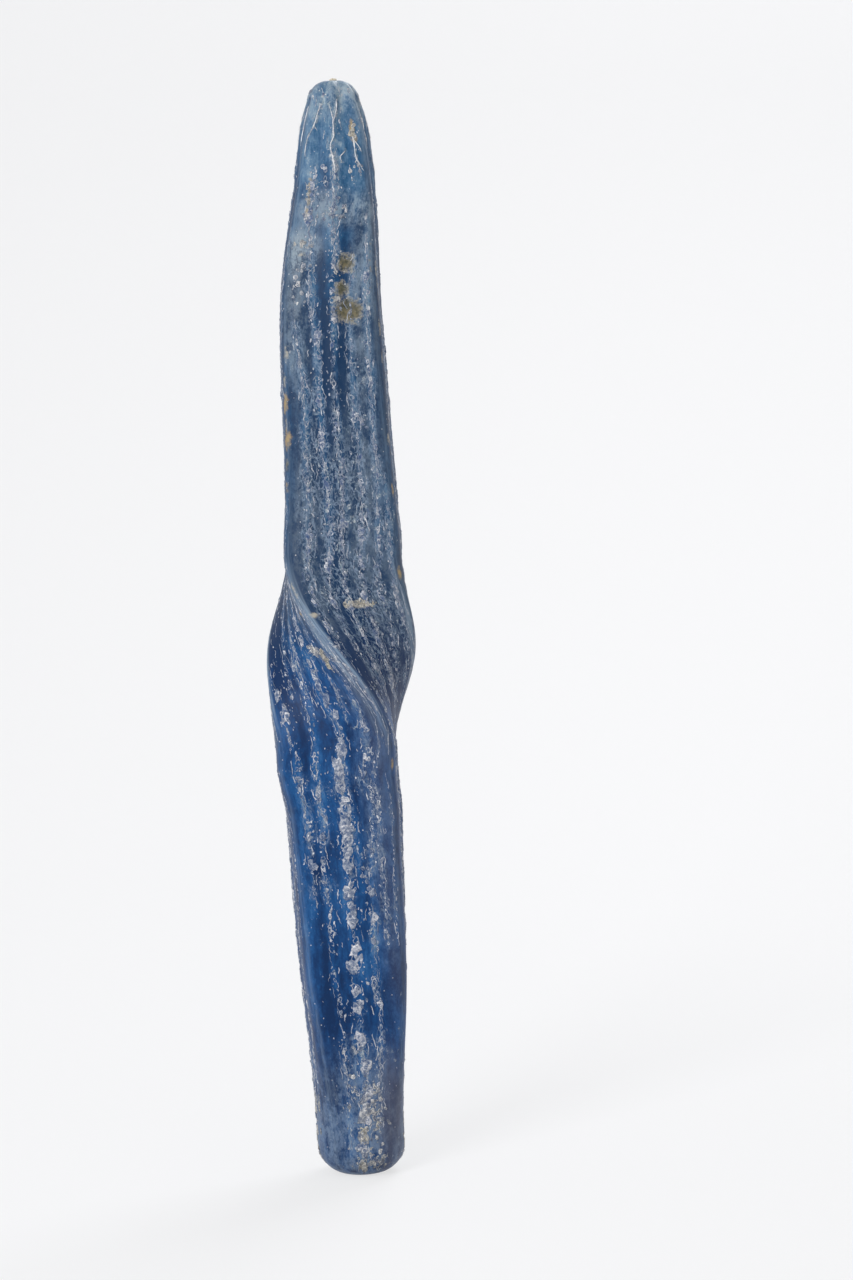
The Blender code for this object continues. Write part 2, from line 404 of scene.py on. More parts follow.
def blueWaxMaterial(look):
    material, bench, shader = newMaterial("blueWaxWithBloom")
    colours = {name: fromScreen(*colour) for name, colour in look["colours"].items()}
    spans = look["spans"]
    flow = bench.attribute("flow").outputs["Vector"]
    marks = {name: bench.attribute(name).outputs["Fac"] for name in markNames}
    pattern = {name: bench.drawnOut(flow, *recipe) for name, recipe in look["patterns"].items()}
    parts = bench.add("ShaderNodeSeparateXYZ")
    bench.plug(parts.inputs[0], flow)
    upperPart = bench.span(parts.outputs["Z"], *look["changeOver"])

    def shared(layers, name):
        return [(layers[layer], share) for layer, share in look[name].items()]

    def laid(below, share, name, above):
        # a layer over what is below it
        return bench.cover(bench.times(share, look["covers"][name]), below, above)

    # streaks and clouds of deeper and paler blue, and fine lengthwise threads
    tone = bench.total(*shared(pattern, "toneShares"), (marks["tone"], 1.0))
    tone = bench.math("SUBTRACT", tone, look["toneLevel"])
    low, high = (bench.ramp(tone, screenStops(look[name])) for name in ("lowTones", "highTones"))
    colour = bench.cover(upperPart, low, high)

    # cloudy places
    mist = bench.total(*shared(pattern, "mistShares"))
    haze = bench.times(marks["haze"], bench.span(mist, *spans["haze"]), clamp=True)
    colour = bench.cover(haze, colour, colours["haze"])

    # painted highlight: pale bands along the corners, combed lengthwise
    ridge = bench.times(marks["ridge"], bench.span(pattern["combed"], *spans["ridge"]))
    colour = bench.cover(ridge, colour, colours["ridge"])

    # a lace of wandering lines in clusters
    longer = bench.stretched(flow, look["laceSqueeze"])
    coarseLines = bench.worms(longer, *look["coarseLines"])
    fineLines = bench.times(bench.worms(longer, *look["fineLines"]), look["fineLineShare"])
    lines = bench.math("MAXIMUM", coarseLines, fineLines)
    laceReach = bench.total((marks["lace"], 1.0), (pattern["clusters"], look["clusterShare"]))
    lace = bench.times(lines, bench.span(laceReach, *spans["lace"]))
    lace = bench.times(lace, bench.span(pattern["grains"], *spans["laceGrain"]))
    colour = laid(colour, lace, "lace", colours["lace"])

    # crust: ragged, mottled patches with dark pits; the pale colour along the pinched ridges in it is
    # painted highlight
    ragged = bench.total((marks["frost"], 1.0), (lines, look["frostLines"]),
                         *shared(pattern, "frostShares"))
    frost = bench.span(bench.math("SUBTRACT", ragged, look["frostLevel"]), *spans["frost"])
    pits = bench.times(bench.span(pattern["pits"], *spans["pits"]), look["pitDepth"])
    frost = bench.times(frost, bench.math("SUBTRACT", 1.0, pits))
    mottle = bench.total(*shared(pattern, "mottleShares"))
    mottled = bench.ramp(bench.span(mottle, *spans["mottle"]), screenStops(look["frostTones"]))
    colour = laid(colour, frost, "frost", mottled)
    colour = laid(colour, marks["slate"], "slate", colours["slate"])

    # chipped or thin places where undyed wax shows, and sunk olive patches with a pale edge
    broken = (pattern["broken"], look["brokenShare"])
    olive = bench.total((marks["olive"], 1.0), broken)
    edge = bench.span(pattern["grains"], *spans["edgeGrain"])
    edge = bench.times(bench.span(olive, *spans["oliveEdge"]), edge)
    colour = laid(colour, edge, "oliveEdge", colours["cream"])
    light = bench.span(pattern["dapple"], *spans["moss"])
    moss = bench.cover(light, colours["olive"], colours["oliveLight"])
    colour = laid(colour, bench.span(olive, *spans["olive"]), "olive", moss)
    for name in ("cream", "ochre"):
        reach = bench.total((marks[name], 1.0), broken)
        colour = laid(colour, bench.span(reach, *spans["flecks"]), "flecks", colours[name])

    # single pale specks: the cells of a Voronoi pattern, of which a few are chosen by their colour
    speckles = bench.add("ShaderNodeTexVoronoi")
    speckles.inputs["Scale"].default_value = look["speckScale"]
    bench.plug(speckles.inputs["Vector"], flow)
    lots = bench.add("ShaderNodeSeparateXYZ")
    bench.plug(lots.inputs[0], speckles.outputs["Color"])
    chosen = bench.span(lots.outputs["X"], *spans["chosenSpecks"])
    disc = bench.span(speckles.outputs["Distance"], *spans["speckDisc"])
    speck = bench.times(disc, chosen)
    colour = laid(colour, speck, "speck", colours["speck"])

    bench.plug(shader.inputs["Base Color"], colour)
    roughness = bench.span(frost, 0.0, 1.0, look["roughWax"], look["roughFrost"])
    bench.plug(shader.inputs["Roughness"], roughness)
    shader.inputs["Specular IOR Level"].default_value = look["gloss"]
    setGlow(shader, *look["glow"])
    layers = {"frost": frost, "lace": lace, "speck": speck, **pattern}
    height = bench.total(*shared(layers, "reliefShares"))
    bench.plug(shader.inputs["Normal"], bench.bump(height, *look["bump"]))
    return material


crustLook = {
    "tones": [(0.0, (34, 64, 110)), (0.25, (76, 96, 130)), (0.50, (130, 140, 158)),
              (0.75, (186, 188, 198)), (1.0, (238, 238, 240))],
    "warmTones": [(0.0, (92, 96, 94)), (0.35, (142, 136, 118)), (0.70, (194, 184, 158)),
                  (1.0, (236, 230, 212))],
    # lengthwise squeeze, scale, detail, roughness, distortion
    "patterns": {"fine": (1.0, 2700, 4, 0.65, 0.0), "mottle": (1.0, 950, 3, 0.60, 0.4)},
    "spans": {"fine": (0.32, 0.66), "mottle": (0.34, 0.64)},
    "toneShares": {"fine": 0.28, "mottle": 0.38, "rim": 0.34, "shade": 0.40},
    "toneLevel": 0.13,
    "roughSmooth": 0.42,
    "roughGrained": 0.80,
    "gloss": 0.35,
    "glow": (0.10, (0.6, 0.8, 1.0), 0.5 * mm),
    "bump": (0.5, 0.08 * mm),        # strength, distance
}


def crustMaterial(look):
    # rim, shade and warmth are given point by point on the flakes and threads
    material, bench, shader = newMaterial("paleCrust")
    place = bench.add("ShaderNodeTexCoord").outputs["Object"]
    layers = {name: bench.attribute(name).outputs["Fac"] for name in flakeMarks}
    for name, recipe in look["patterns"].items():
        layers[name] = bench.span(bench.drawnOut(place, *recipe), *look["spans"][name])
    tone = bench.total(*((layers[name], share) for name, share in look["toneShares"].items()))
    tone = bench.math("SUBTRACT", tone, look["toneLevel"])
    cool, warm = (bench.ramp(tone, screenStops(look[name])) for name in ("tones", "warmTones"))
    bench.plug(shader.inputs["Base Color"], bench.cover(layers["warmth"], cool, warm))
    roughness = bench.span(layers["fine"], 0.0, 1.0, look["roughSmooth"], look["roughGrained"])
    bench.plug(shader.inputs["Roughness"], roughness)
    shader.inputs["Specular IOR Level"].default_value = look["gloss"]
    setGlow(shader, *look["glow"])
    bench.plug(shader.inputs["Normal"], bench.bump(layers["fine"], *look["bump"]))
    return material


creamWaxLook = {
    "pale": (222, 208, 172),
    "dark": (196, 176, 132),
    "pattern": (0.20, 240, 4),
    "paleSpan": (0.35, 0.65),
    "roughness": (0.3, 0.7, 0.42, 0.56),
    "glow": (0.25, (1.4, 1.0, 0.6), 2 * mm),
    "bump": (0.3, 0.2 * mm),
}


cottonLook = {
    "pale": (226, 216, 194),
    "dark": (160, 148, 124),
    "pattern": (0.18, 4200, 4, 0.6),
    "paleSpan": (0.35, 0.62),
    "roughness": (0.3, 0.7, 0.70, 0.92),
    "bump": (0.6, 0.1 * mm),
}


def twoToneMaterial(name, look):
    # a pale and a dark colour in one drawn out pattern
    material, bench, shader = newMaterial(name)
    place = bench.add("ShaderNodeTexCoord").outputs["Object"]
    grain = bench.drawnOut(place, *look["pattern"])
    paleShare = bench.span(grain, *look["paleSpan"])
    colour = bench.cover(paleShare, fromScreen(*look["dark"]), fromScreen(*look["pale"]))
    bench.plug(shader.inputs["Base Color"], colour)
    bench.plug(shader.inputs["Roughness"], bench.span(grain, *look["roughness"]))
    if "glow" in look:
        setGlow(shader, *look["glow"])
    bench.plug(shader.inputs["Normal"], bench.bump(grain, *look["bump"]))
    return material


print("stage: materials")
markNames = ("frost", "lace", "tone", "ridge", "haze", "slate", "ochre", "cream", "olive")
flakeMarks = ("rim", "shade", "warmth")
blueWax = blueWaxMaterial(blueWaxLook)
paleCrust = crustMaterial(crustLook)
creamWax = twoToneMaterial("creamWax", creamWaxLook)
waxedCotton = twoToneMaterial("waxedCotton", cottonLook)


# The blue skin

waxBloom = {
    # Chains of crust. A path is (height, offset) points from the top down, and a bead is the
    # height of a thick place with half its length. All sizes are in mm.
    "upperChains": [
        {"path": [(262, -0.6), (256, 0.4), (249, 0.0), (236, 0.8), (224, 0.9), (212, 0.3),
                  (199, 0.2), (192, 0.2), (179, 0.9), (169, 0.5), (159, 0.1), (149, -1.6),
                  (120, -4.0)],
         "halfWidth": 0.9, "strength": 0.84, "thin": 0.45,
         "beads": [(258, 2), (252, 2.5), (247, 2), (241, 3), (234, 2), (228, 3), (220.5, 2.5),
                   (216, 1.5), (212.5, 1.2), (210, 1.4), (202.8, 1.7), (193, 2.2), (184, 1.6),
                   (179, 1.4), (170, 2), (163, 1.5), (152, 2.5), (146, 2), (140, 3)]},
        {"path": [(255, -5.0), (246, -5.8), (232, -5.0), (224, -4.3), (212, -3.4), (199, -3.7),
                  (187, -3.6), (174, -2.9), (162, -3.2), (149, -6.0), (122, -7.5)],
         "halfWidth": 1.2, "strength": 0.72, "thin": 0.42,
         "beads": [(251, 4), (245, 2), (214, 5), (203.5, 2), (199, 2), (189, 3), (179, 2),
                   (173, 1.6), (167, 1.4), (158, 3), (150, 2)]},
        {"path": [(216, -9.0), (204, -7.6), (187, -7.6), (174, -8.0), (162, -8.4), (152, -10.2),
                  (130, -12.0)],
         "halfWidth": 1.1, "strength": 0.60, "thin": 0.36,
         "beads": [(202, 1.5), (191, 1.8), (176, 3), (164, 3), (152, 4), (142, 3)]},
        {"path": [(232, 6.2), (216, 5.0), (199, 4.9), (187, 5.2), (174, 5.6), (162, 5.1),
                  (149, 2.8), (122, 0.5)],
         "halfWidth": 1.3, "strength": 0.62, "thin": 0.40,
         "beads": [(194.5, 1.6), (186, 2), (178, 2), (168, 3), (158, 2.5), (149, 2), (140, 4),
                   (130, 4)]},
        {"path": [(242, 9.6), (214, 9.8), (194, 9.7), (179, 9.7), (164, 9.6), (149, 7.2), (120, 4.5)],
         "halfWidth": 1.0, "strength": 0.56, "thin": 0.38,
         "beads": [(228, 4), (205, 3), (182, 3), (166, 3), (150, 3), (136, 4)]},
        {"path": [(178, 12.6), (162, 12.6), (148, 11.4), (122, 8.5)],
         "halfWidth": 0.8, "strength": 0.50, "thin": 0.38,
         "beads": [(170, 3), (160, 2), (150, 3), (138, 4)]},
    ],
    "lowerChains": [
        {"path": [(134, 2.0), (124, 0.9), (118.5, 2.4), (111, 1.7), (105, 0.8), (94, 0.8),
                  (82, -0.2), (70, 0.0), (50, -0.3), (36, -0.2), (24, 0.4), (11, -1.4), (0, -2.0)],
         "halfWidth": 1.9, "strength": 1.0, "thin": 0.30,
         "beads": [(124, 1.2), (120.5, 1.2), (111.5, 1.6), (105.8, 2.4), (101.5, 2.2), (95.5, 3.0),
                   (91, 2.4), (86.5, 2.2), (81.8, 1.6), (75.5, 3.0), (69.5, 3.4), (60.8, 2.0),
                   (55.8, 1.2), (50, 1.4), (45.2, 1.7), (37, 1.2), (30, 1.4), (22, 2.4), (16, 2.6),
                   (9.5, 2.8), (3, 2)]},
        {"path": [(137, -4.0), (130, -4.5), (126, -4.0), (118, -5.1), (109, -5.0), (95, -5.0),
                  (83, -6.0), (70, -5.7), (54, -5.7), (44, -4.8), (32, -5.0), (20, -4.4), (6, -5.0)],
         "halfWidth": 1.0, "strength": 0.86, "thin": 0.36,
         "beads": [(133.5, 1), (130.5, 1.2), (127.5, 1), (118, 1.2), (114, 1), (109, 1.4),
                   (100.5, 1.6), (95, 1.6), (89, 1.8), (83, 1.8), (77, 2), (69.5, 1.8), (65, 1.4),
                   (60, 1.6), (54, 2), (48, 1.2), (43.8, 1.2), (32, 1.6), (27, 1.2), (20, 1.2)]},
        {"path": [(128, -12.8), (122, -10.4), (117, -11.4), (108, -9.8), (94, -9.4), (82, -9.0),
                  (70, -9.6)],
         "halfWidth": 1.2, "strength": 0.84, "thin": 0.36,
         "beads": [(124.5, 1.0), (121.5, 1.6), (118.8, 1.4), (114, 1.4), (108, 1.6), (103, 1.4),
                   (93.8, 1.2), (89.5, 1.4), (82.5, 1.4), (76, 1.2)]},
        {"path": [(122, 9.0), (117, 8.6), (110, 8.3), (104, 6.8), (100, 8.6), (86, 6.5), (75, 5.4),
                  (62, 5.2), (51, 4.3), (44, 5.2), (30, 4.2), (12, 3.0)],
         "halfWidth": 1.2, "strength": 0.78, "thin": 0.36,
         "beads": [(117, 1.2), (110, 1.4), (104, 1.4), (99.5, 1.4), (86, 1.6), (79.5, 1.3),
                   (75, 1.4), (68, 1.8), (62.8, 1.4), (51.5, 1.8), (46, 1.4), (34, 2), (24, 2),
                   (14, 2)]},
        {"path": [(112, 11.4), (106, 10.2), (91, 9.2), (78, 8.6), (60, 8.8)],
         "halfWidth": 0.8, "strength": 0.66, "thin": 0.36,
         "beads": [(106, 1.4), (98, 1), (91, 1.2), (84, 1.2), (72, 1.4), (64, 1)]},
        {"path": [(102, 13.6), (94, 13.2), (77, 12.2), (60, 11.4)],
         "halfWidth": 0.45, "strength": 0.62, "thin": 0.2,
         "beads": [(94.5, 2.6), (77, 3.0), (64, 2)]},
    ],
    # clusters of flakes away from the chains:
    # face, height, offset, half height, half width, how many, warmth
    "clusters": [
        (2, 136.4, 5.6, 1.3, 1.8, 40, 0.45),
        (2, 135.6, 8.2, 1.0, 1.2, 18, 0.80),
        (2, 133.2, 7.8, 2.0, 0.7, 14, 1.00),
        (2, 134.6, 11.6, 0.9, 1.6, 14, 0.30),
        (3, 138.0, -13.0, 2.4, 0.9, 14, 0.10),
        (2, 130.4, 13.8, 2.4, 0.4, 8, 0.20),
        (2, 79.5, 3.6, 2.0, 1.2, 6, 0.10),
        (2, 52.0, 2.6, 1.8, 1.1, 5, 0.10),
        (2, 35.0, -2.6, 1.8, 2.4, 9, 0.20),
        (2, 24.0, -3.2, 3.0, 1.4, 10, 0.35),
        (2, 18.0, 1.4, 10.0, 3.0, 84, 0.42),
        (2, 5.0, 2.0, 3.0, 5.0, 30, 0.60),
        (3, 4.0, -4.0, 2.4, 6.0, 16, 0.50),
        (3, 148.0, 0.4, 0.6, 3.2, 56, 0.80),
        (3, 148.3, -1.6, 0.6, 0.7, 10, 0.30),
        (3, 167.6, -0.6, 1.2, 3.2, 14, 0.15),
        (3, 194.5, 7.4, 1.8, 1.8, 9, 0.10),
        (3, 212.0, 9.0, 4.0, 2.4, 9, 0.15),
        (3, 226.0, -8.0, 5.0, 3.0, 12, 0.25),
        (3, 232.0, -6.0, 1.2, 3.2, 14, 0.30),
        (3, 238.0, -7.0, 1.0, 3.2, 14, 0.50),
        (3, 246.0, 0.4, 2.4, 3.6, 22, 0.25),
        (3, 251.0, -6.6, 5.4, 0.6, 16, 0.75),
        (3, 245.6, -6.7, 1.0, 1.6, 12, 0.25),
        (3, 256.5, -2.4, 1.6, 0.6, 8, 0.10),
        (3, 252.0, -2.2, 2.0, 0.8, 5, 0.10),
        (3, 220.4, 1.1, 1.8, 0.5, 10, 0.15),
        (3, 256.0, 6.0, 5.0, 2.0, 10, 0.30),
        (3, 266.6, 5.0, 2.0, 0.6, 7, 0.90),
        (3, 264.4, 5.6, 0.8, 0.8, 5, 0.80),
        (3, 231.4, 3.2, 1.0, 2.0, 5, 0.50),
        (3, 224.0, 3.0, 0.7, 2.8, 9, 0.45),
        (2, 276.0, 0.0, 1.2, 4.0, 6, 0.20),
        (3, 276.0, 0.0, 1.2, 4.0, 8, 0.20),
    ],
    # fields of lace: face, height, offset, half height, half width, strength
    "laceFields": [
        (3, 168.0, 4.0, 36.0, 11.0, 0.80),
        (3, 160.0, -5.0, 30.0, 9.0, 0.80),
        # weaker here, to keep the painted shade of the face that turns away at the waist
        (3, 134.0, 6.0, 18.0, 12.0, 0.30),
        (3, 214.0, -8.0, 30.0, 5.0, 0.70),
        (3, 214.0, 8.0, 26.0, 5.0, 0.55),
        (3, 250.0, 0.0, 16.0, 10.0, 0.50),
        (2, 92.0, 8.0, 44.0, 6.0, 0.60),
        (2, 22.0, 2.0, 24.0, 9.0, 0.70),
        (2, 100.0, -5.0, 34.0, 8.0, 0.35),
    ],
    # deeper (negative) and paler places in the blue:
    # face, height, offset, half height, half width, change
    "toneFields": [
        (3, 204.0, -0.9, 17.0, 1.3, -0.46),
        (3, 206.0, 3.0, 14.0, 1.3, -0.40),
        (3, 253.0, -2.5, 6.0, 2.2, -0.30),
        (3, 186.0, -5.4, 22.0, 1.3, -0.24),
        (3, 158.0, 0.0, 26.0, 1.0, -0.26),
        (3, 156.0, 4.4, 24.0, 1.0, -0.22),
        # painted shade on the face that turns away beside the crest at the waist
        (3, 133.0, 8.0, 20.0, 12.0, -0.50),
        (3, 166.0, 1.0, 24.0, 11.0, -0.24),
        (3, 196.0, 12.0, 26.0, 3.0, 0.12),
        (2, 100.0, -1.8, 34.0, 1.7, -0.04),
        (2, 86.0, -7.8, 30.0, 1.1, -0.14),
        (2, 96.0, 4.8, 30.0, 1.2, -0.14),
        (3, 264.0, 0.0, 18.0, 9.0, 0.22),
        (2, 86.0, -12.4, 44.0, 2.6, 0.10),
        (2, 40.0, -8.0, 26.0, 4.0, -0.12),
    ],
    # cloudy places, in the same form
    "hazeFields": [
        (3, 247.0, 1.0, 4.0, 11.0, 0.55),
        (3, 237.0, -8.0, 5.0, 5.0, 0.70),
        (3, 226.0, 9.0, 22.0, 3.6, 0.42),
        (3, 218.0, -9.0, 16.0, 3.6, 0.40),
        (3, 170.0, 7.0, 32.0, 6.0, 0.24),
        (3, 164.0, -9.0, 24.0, 4.0, 0.22),
        (2, 12.0, 0.0, 18.0, 12.0, 0.40),
        (3, 12.0, 0.0, 18.0, 12.0, 0.30),
        (2, 92.0, 9.5, 40.0, 4.0, 0.16),
    ],
    "slateFields": [
        (2, 17.0, 7.4, 15.0, 4.4, 0.78),
        (3, 17.0, -7.0, 15.0, 4.4, 0.60),
        (2, 84.0, 12.0, 44.0, 4.4, 0.34),
    ],
    # sharp pinched ridges at the tip: face, path from the top down
    "pinches": [
        (3, [(273, -3.4), (271, -4.1), (268, -5.0), (264.8, -7.0), (262, -7.9), (260, -8.0)]),
        (3, [(273, -0.8), (272, -0.6), (269, 0.1), (265, 0.0), (262.2, -0.8), (258.2, 0.0), (256, 0.2),
             (254, 0.3)]),
        (3, [(274.2, 0.9), (271.5, 0.7), (269, 0.2)]),
        (3, [(265.5, 4.6), (264, 5.3), (260, 5.7), (258, 6.6), (256, 8.2)]),
        (3, [(264.4, 5.0), (262.4, 6.6), (261.2, 7.4)]),
        (3, [(261.2, 2.9), (259.6, 1.6), (258.6, 1.9)]),
        (2, [(274.5, -1.0), (268, -0.4), (262, -1.2), (257, 0.2)]),
        (2, [(273, 2.6), (268, 3.2), (263, 3.0)]),
        (0, [(274.5, 1.0), (267, 0.4), (261, 1.2), (256, 0.6)]),
        (0, [(272, -3.0), (266, -3.8), (262, -4.0)]),
        (1, [(274.5, 0.0), (267, -0.6), (261, 0.4), (256, 0.0)]),
        (1, [(272, 3.6), (266, 4.4), (261, 5.4)]),
    ],
    "ochreMarks": [
        (3, 266.6, 4.9, 2.4, 0.8, 0.60),
        (3, 264.4, 5.6, 1.2, 1.0, 0.55),
        (3, 251.5, -6.3, 4.6, 0.8, 0.46),
        (3, 246.4, -6.8, 1.6, 1.0, 0.46),
        (2, 198.5, 12.4, 3.6, 1.9, 0.54),
        (2, 189.6, 13.0, 2.8, 2.6, 0.56),
        (2, 178.0, 12.4, 2.2, 1.6, 0.46),
        (0, 176.5, -12.0, 2.0, 0.9, 0.56),
        (3, 155.0, 14.4, 2.4, 0.9, 0.46),
        (0, 155.5, -15.0, 1.8, 1.1, 0.54),
        (3, 107.2, -14.2, 1.8, 1.3, 0.50),
        (2, 145.8, 10.2, 0.8, 1.6, 0.56),
        (2, 134.0, 7.6, 2.0, 0.8, 0.50),
        (3, 232.6, 11.0, 8.0, 0.8, 0.34),
    ],
    "creamMarks": [
        (3, 148.0, 0.4, 1.2, 3.4, 0.58),
        (3, 145.5, -13.0, 0.9, 1.8, 0.55),
        (2, 152.2, 13.9, 2.6, 1.6, 0.46),
        (3, 210.8, -12.4, 3.0, 1.6, 0.46),
        (2, 204.6, 12.4, 2.4, 1.5, 0.44),
        (2, 193.0, 13.0, 2.0, 1.2, 0.40),
        (3, 235.4, -7.0, 0.8, 2.4, 0.40),
        (2, 136.2, 6.4, 1.6, 2.4, 0.42),
        (2, 4.0, 0.0, 2.0, 9.0, 0.34),
        (0, 230.5, -9.6, 7.0, 1.0, 0.46),
        (0, 216.8, -10.4, 2.6, 1.2, 0.46),
        (0, 209.8, -10.8, 2.0, 1.0, 0.44),
        (0, 188.8, -11.4, 2.6, 1.4, 0.46),
    ],
    "oliveMarks": [
        (3, 221.4, 4.8, 2.6, 3.4, 0.84),
        (3, 233.2, 4.1, 2.2, 2.3, 0.74),
        (3, 226.8, 3.1, 1.9, 1.9, 0.70),
        (2, 183.2, 12.6, 1.4, 0.9, 0.50),
        (2, 173.5, 10.6, 1.2, 0.8, 0.40),
    ],
}

blueSkin = {
    "columns": 200,
    "rowStep": 0.64 * mm,
    "innerStep": 22.0 * mm,
    # rows in each rounding and rings in the foot's flat
    "footRows": 14,
    "tipRows": 8,
    "innerTipRows": 3,
    "innerFootRows": 4,
    "flatRings": 4,
    "lumps": 0.20 * mm,
    "grooves": 0.14 * mm,
    "chainRise": 0.15 * mm,
    "ripple": 0.09 * mm,
    "chipDepth": 0.30 * mm,
    "cornerPinch": 0.30 * mm,        # how far the corners stand out at the waist
    "cornerPinchWidth": 1.5 * mm,
    "cornerTrough": 0.42 * mm,       # the hollow beside them
    "tipRim": 0.34 * mm,             # the rolled edge a little below the tip
    "tipRimDrop": 3.4 * mm,
    "tipRimHalf": 1.1 * mm,
    "pinchWidth": 0.7 * mm,          # half width of the swelling under a pinched ridge
    "pinchRise": 0.26 * mm,
    "pinchOverrun": 2.0 * mm,
    # how the left side runs into the waist: height, half height, change
    "hip": [(104.5 * mm, 5.0 * mm, -0.70 * mm), (118.0 * mm, 5.0 * mm, 0.55 * mm)],
    # the wax climbs the wick a little: rise over the top and radius, in mm
    "collar": [(-0.03, 1.55), (0.10, 1.30), (0.12, 1.12), (-0.10, 0.98), (-1.0, 0.98)],
    "collarMarks": {"haze": 0.75, "tone": 0.10},
}


def pinchCurves():
    # each pinched ridge: its face, its ends and its offset as a function of height
    found = []
    for face, path in waxBloom["pinches"]:
        points = sorted((z * mm, offset * mm) for z, offset in path)
        found.append((face, points[0][0], points[-1][0], curveThrough(points)))
    return found


chainHabit = {
    # how chains on the sides and the back are shifted in height, in mm, and their beads even more
    "shiftPerChain": 2.3,
    "shiftPerFace": 3.1,
    "shiftRange": 5.0,
    "beadShift": 1.7,
    "strengthElsewhere": 0.94,
    "fade": 5 * mm,                  # over which a chain sets in and ends
    "overrun": 3 * mm,
    "beadSharpness": 0.7,
    "wander": 0.5 * mm,
    "wanderTurns": 210,              # per metre
    "swell": (0.62, 0.38),           # width between the beads, and what a bead adds
    "unevenness": 0.5,
    "unevenTurns": 420,
}


def faceChains(face):
    # The front carries the chains as listed and the back carries them mirrored. On the sides and
    # the back they are shifted in height.
    chains = []
    for name, frontFace in (("upperChains", 3), ("lowerChains", 2)):
        front = face == frontFace
        side = -1 if not front and face % 2 == frontFace % 2 else 1
        for number, chain in enumerate(waxBloom[name]):
            shift = 0.0
            if not front:
                shift = chainHabit["shiftPerChain"] * number + chainHabit["shiftPerFace"] * face
                shift = shift % chainHabit["shiftRange"] - chainHabit["shiftRange"] / 2
            points = sorted(((z + shift) * mm, side * offset * mm) for z, offset in chain["path"])
            beadShift = shift * chainHabit["beadShift"]
            beads = [((z + beadShift) * mm, half * mm) for z, half in chain["beads"]]
            if not front and name == "upperChains":
                beads = beads[::2] + beads[1::3]
            chains.append({
                "curve": curveThrough(points),
                "low": points[0][0],
                "high": points[-1][0],
                "beads": beads,
                "halfWidth": chain["halfWidth"] * mm,
                "strength": chain["strength"] * (1 if front else chainHabit["strengthElsewhere"]),
                "thin": chain["thin"],
                "seed": 7.3 * number + 31.0 * face + len(name),
            })
    return chains


def chainAt(chain, z):
    # the chain's place across the face, half width, strength and bead at one height
    fade = chainHabit["fade"]
    ends = ease((z - chain["low"]) / fade) * ease((chain["high"] + chainHabit["overrun"] - z) / fade)
    if ends <= 0:
        return None
    sharpness = chainHabit["beadSharpness"]
    bead = max(math.exp(-((z - place) / half) ** 4 * sharpness) for place, half in chain["beads"])
    strength = chain["strength"] * (chain["thin"] + (1 - chain["thin"]) * bead) * ends
    wander = noiseAt(chain["seed"], 0, z * chainHabit["wanderTurns"])
    uneven = noiseAt(chain["seed"], 9, z * chainHabit["unevenTurns"])
    swell = graded(chainHabit["swell"], bead) * (1 + chainHabit["unevenness"] * uneven)
    return chain["curve"](z) + chainHabit["wander"] * wander, chain["halfWidth"] * swell, strength, bead


def rowOfChains(chains, z):
    found = [chainAt(chain, z) for chain in chains]
    return [spot[:3] for spot in found if spot]


ovals = {
    # How far marks and fields reach up and down, their squared reach in all, and how they fade.
    # The edge of an oval is at 1.
    "markReach": 2.0,
    "markLimit": 4.0,
    "markFade": 0.8,
    "fieldReach": 1.6,
    "fieldLimit": 2.6,
    "fieldFade": 0.6,
}


def squaredAway(oval, face, offset, z, whole, reach):
    # squared distance from an oval's middle, 1 at its edge, also where it reaches over a corner
    ovalFace, height, across, halfHeight, halfWidth = oval
    rise = (z - height * mm) / (halfHeight * mm)
    step = (face - ovalFace + 2) % 4 - 2
    if abs(rise) > reach or abs(step) > 1:
        return math.inf
    side = (offset + step * 2 * whole - across * mm) / (halfWidth * mm)
    return rise * rise + side * side


def inMarks(marks, face, offset, z, whole):
    # the strongest of a list of soft oval marks
    most = 0.0
    for *oval, strength in marks:
        away = squaredAway(oval, face, offset, z, whole, ovals["markReach"])
        if away < ovals["markLimit"]:
            most = max(most, strength * math.exp(-away * ovals["markFade"]))
    return most


def inFields(fields, face, offset, z, whole):
    # soft areas added up; the far side of the candle carries them too
    total = 0.0
    for fieldFace, *oval, strength in fields:
        carrier = face if (face - fieldFace) % 4 == 2 else fieldFace
        away = squaredAway((carrier, *oval), face, offset, z, whole, ovals["fieldReach"])
        if away < ovals["fieldLimit"]:
            total += strength * math.exp(-away * away * ovals["fieldFade"])
    return total


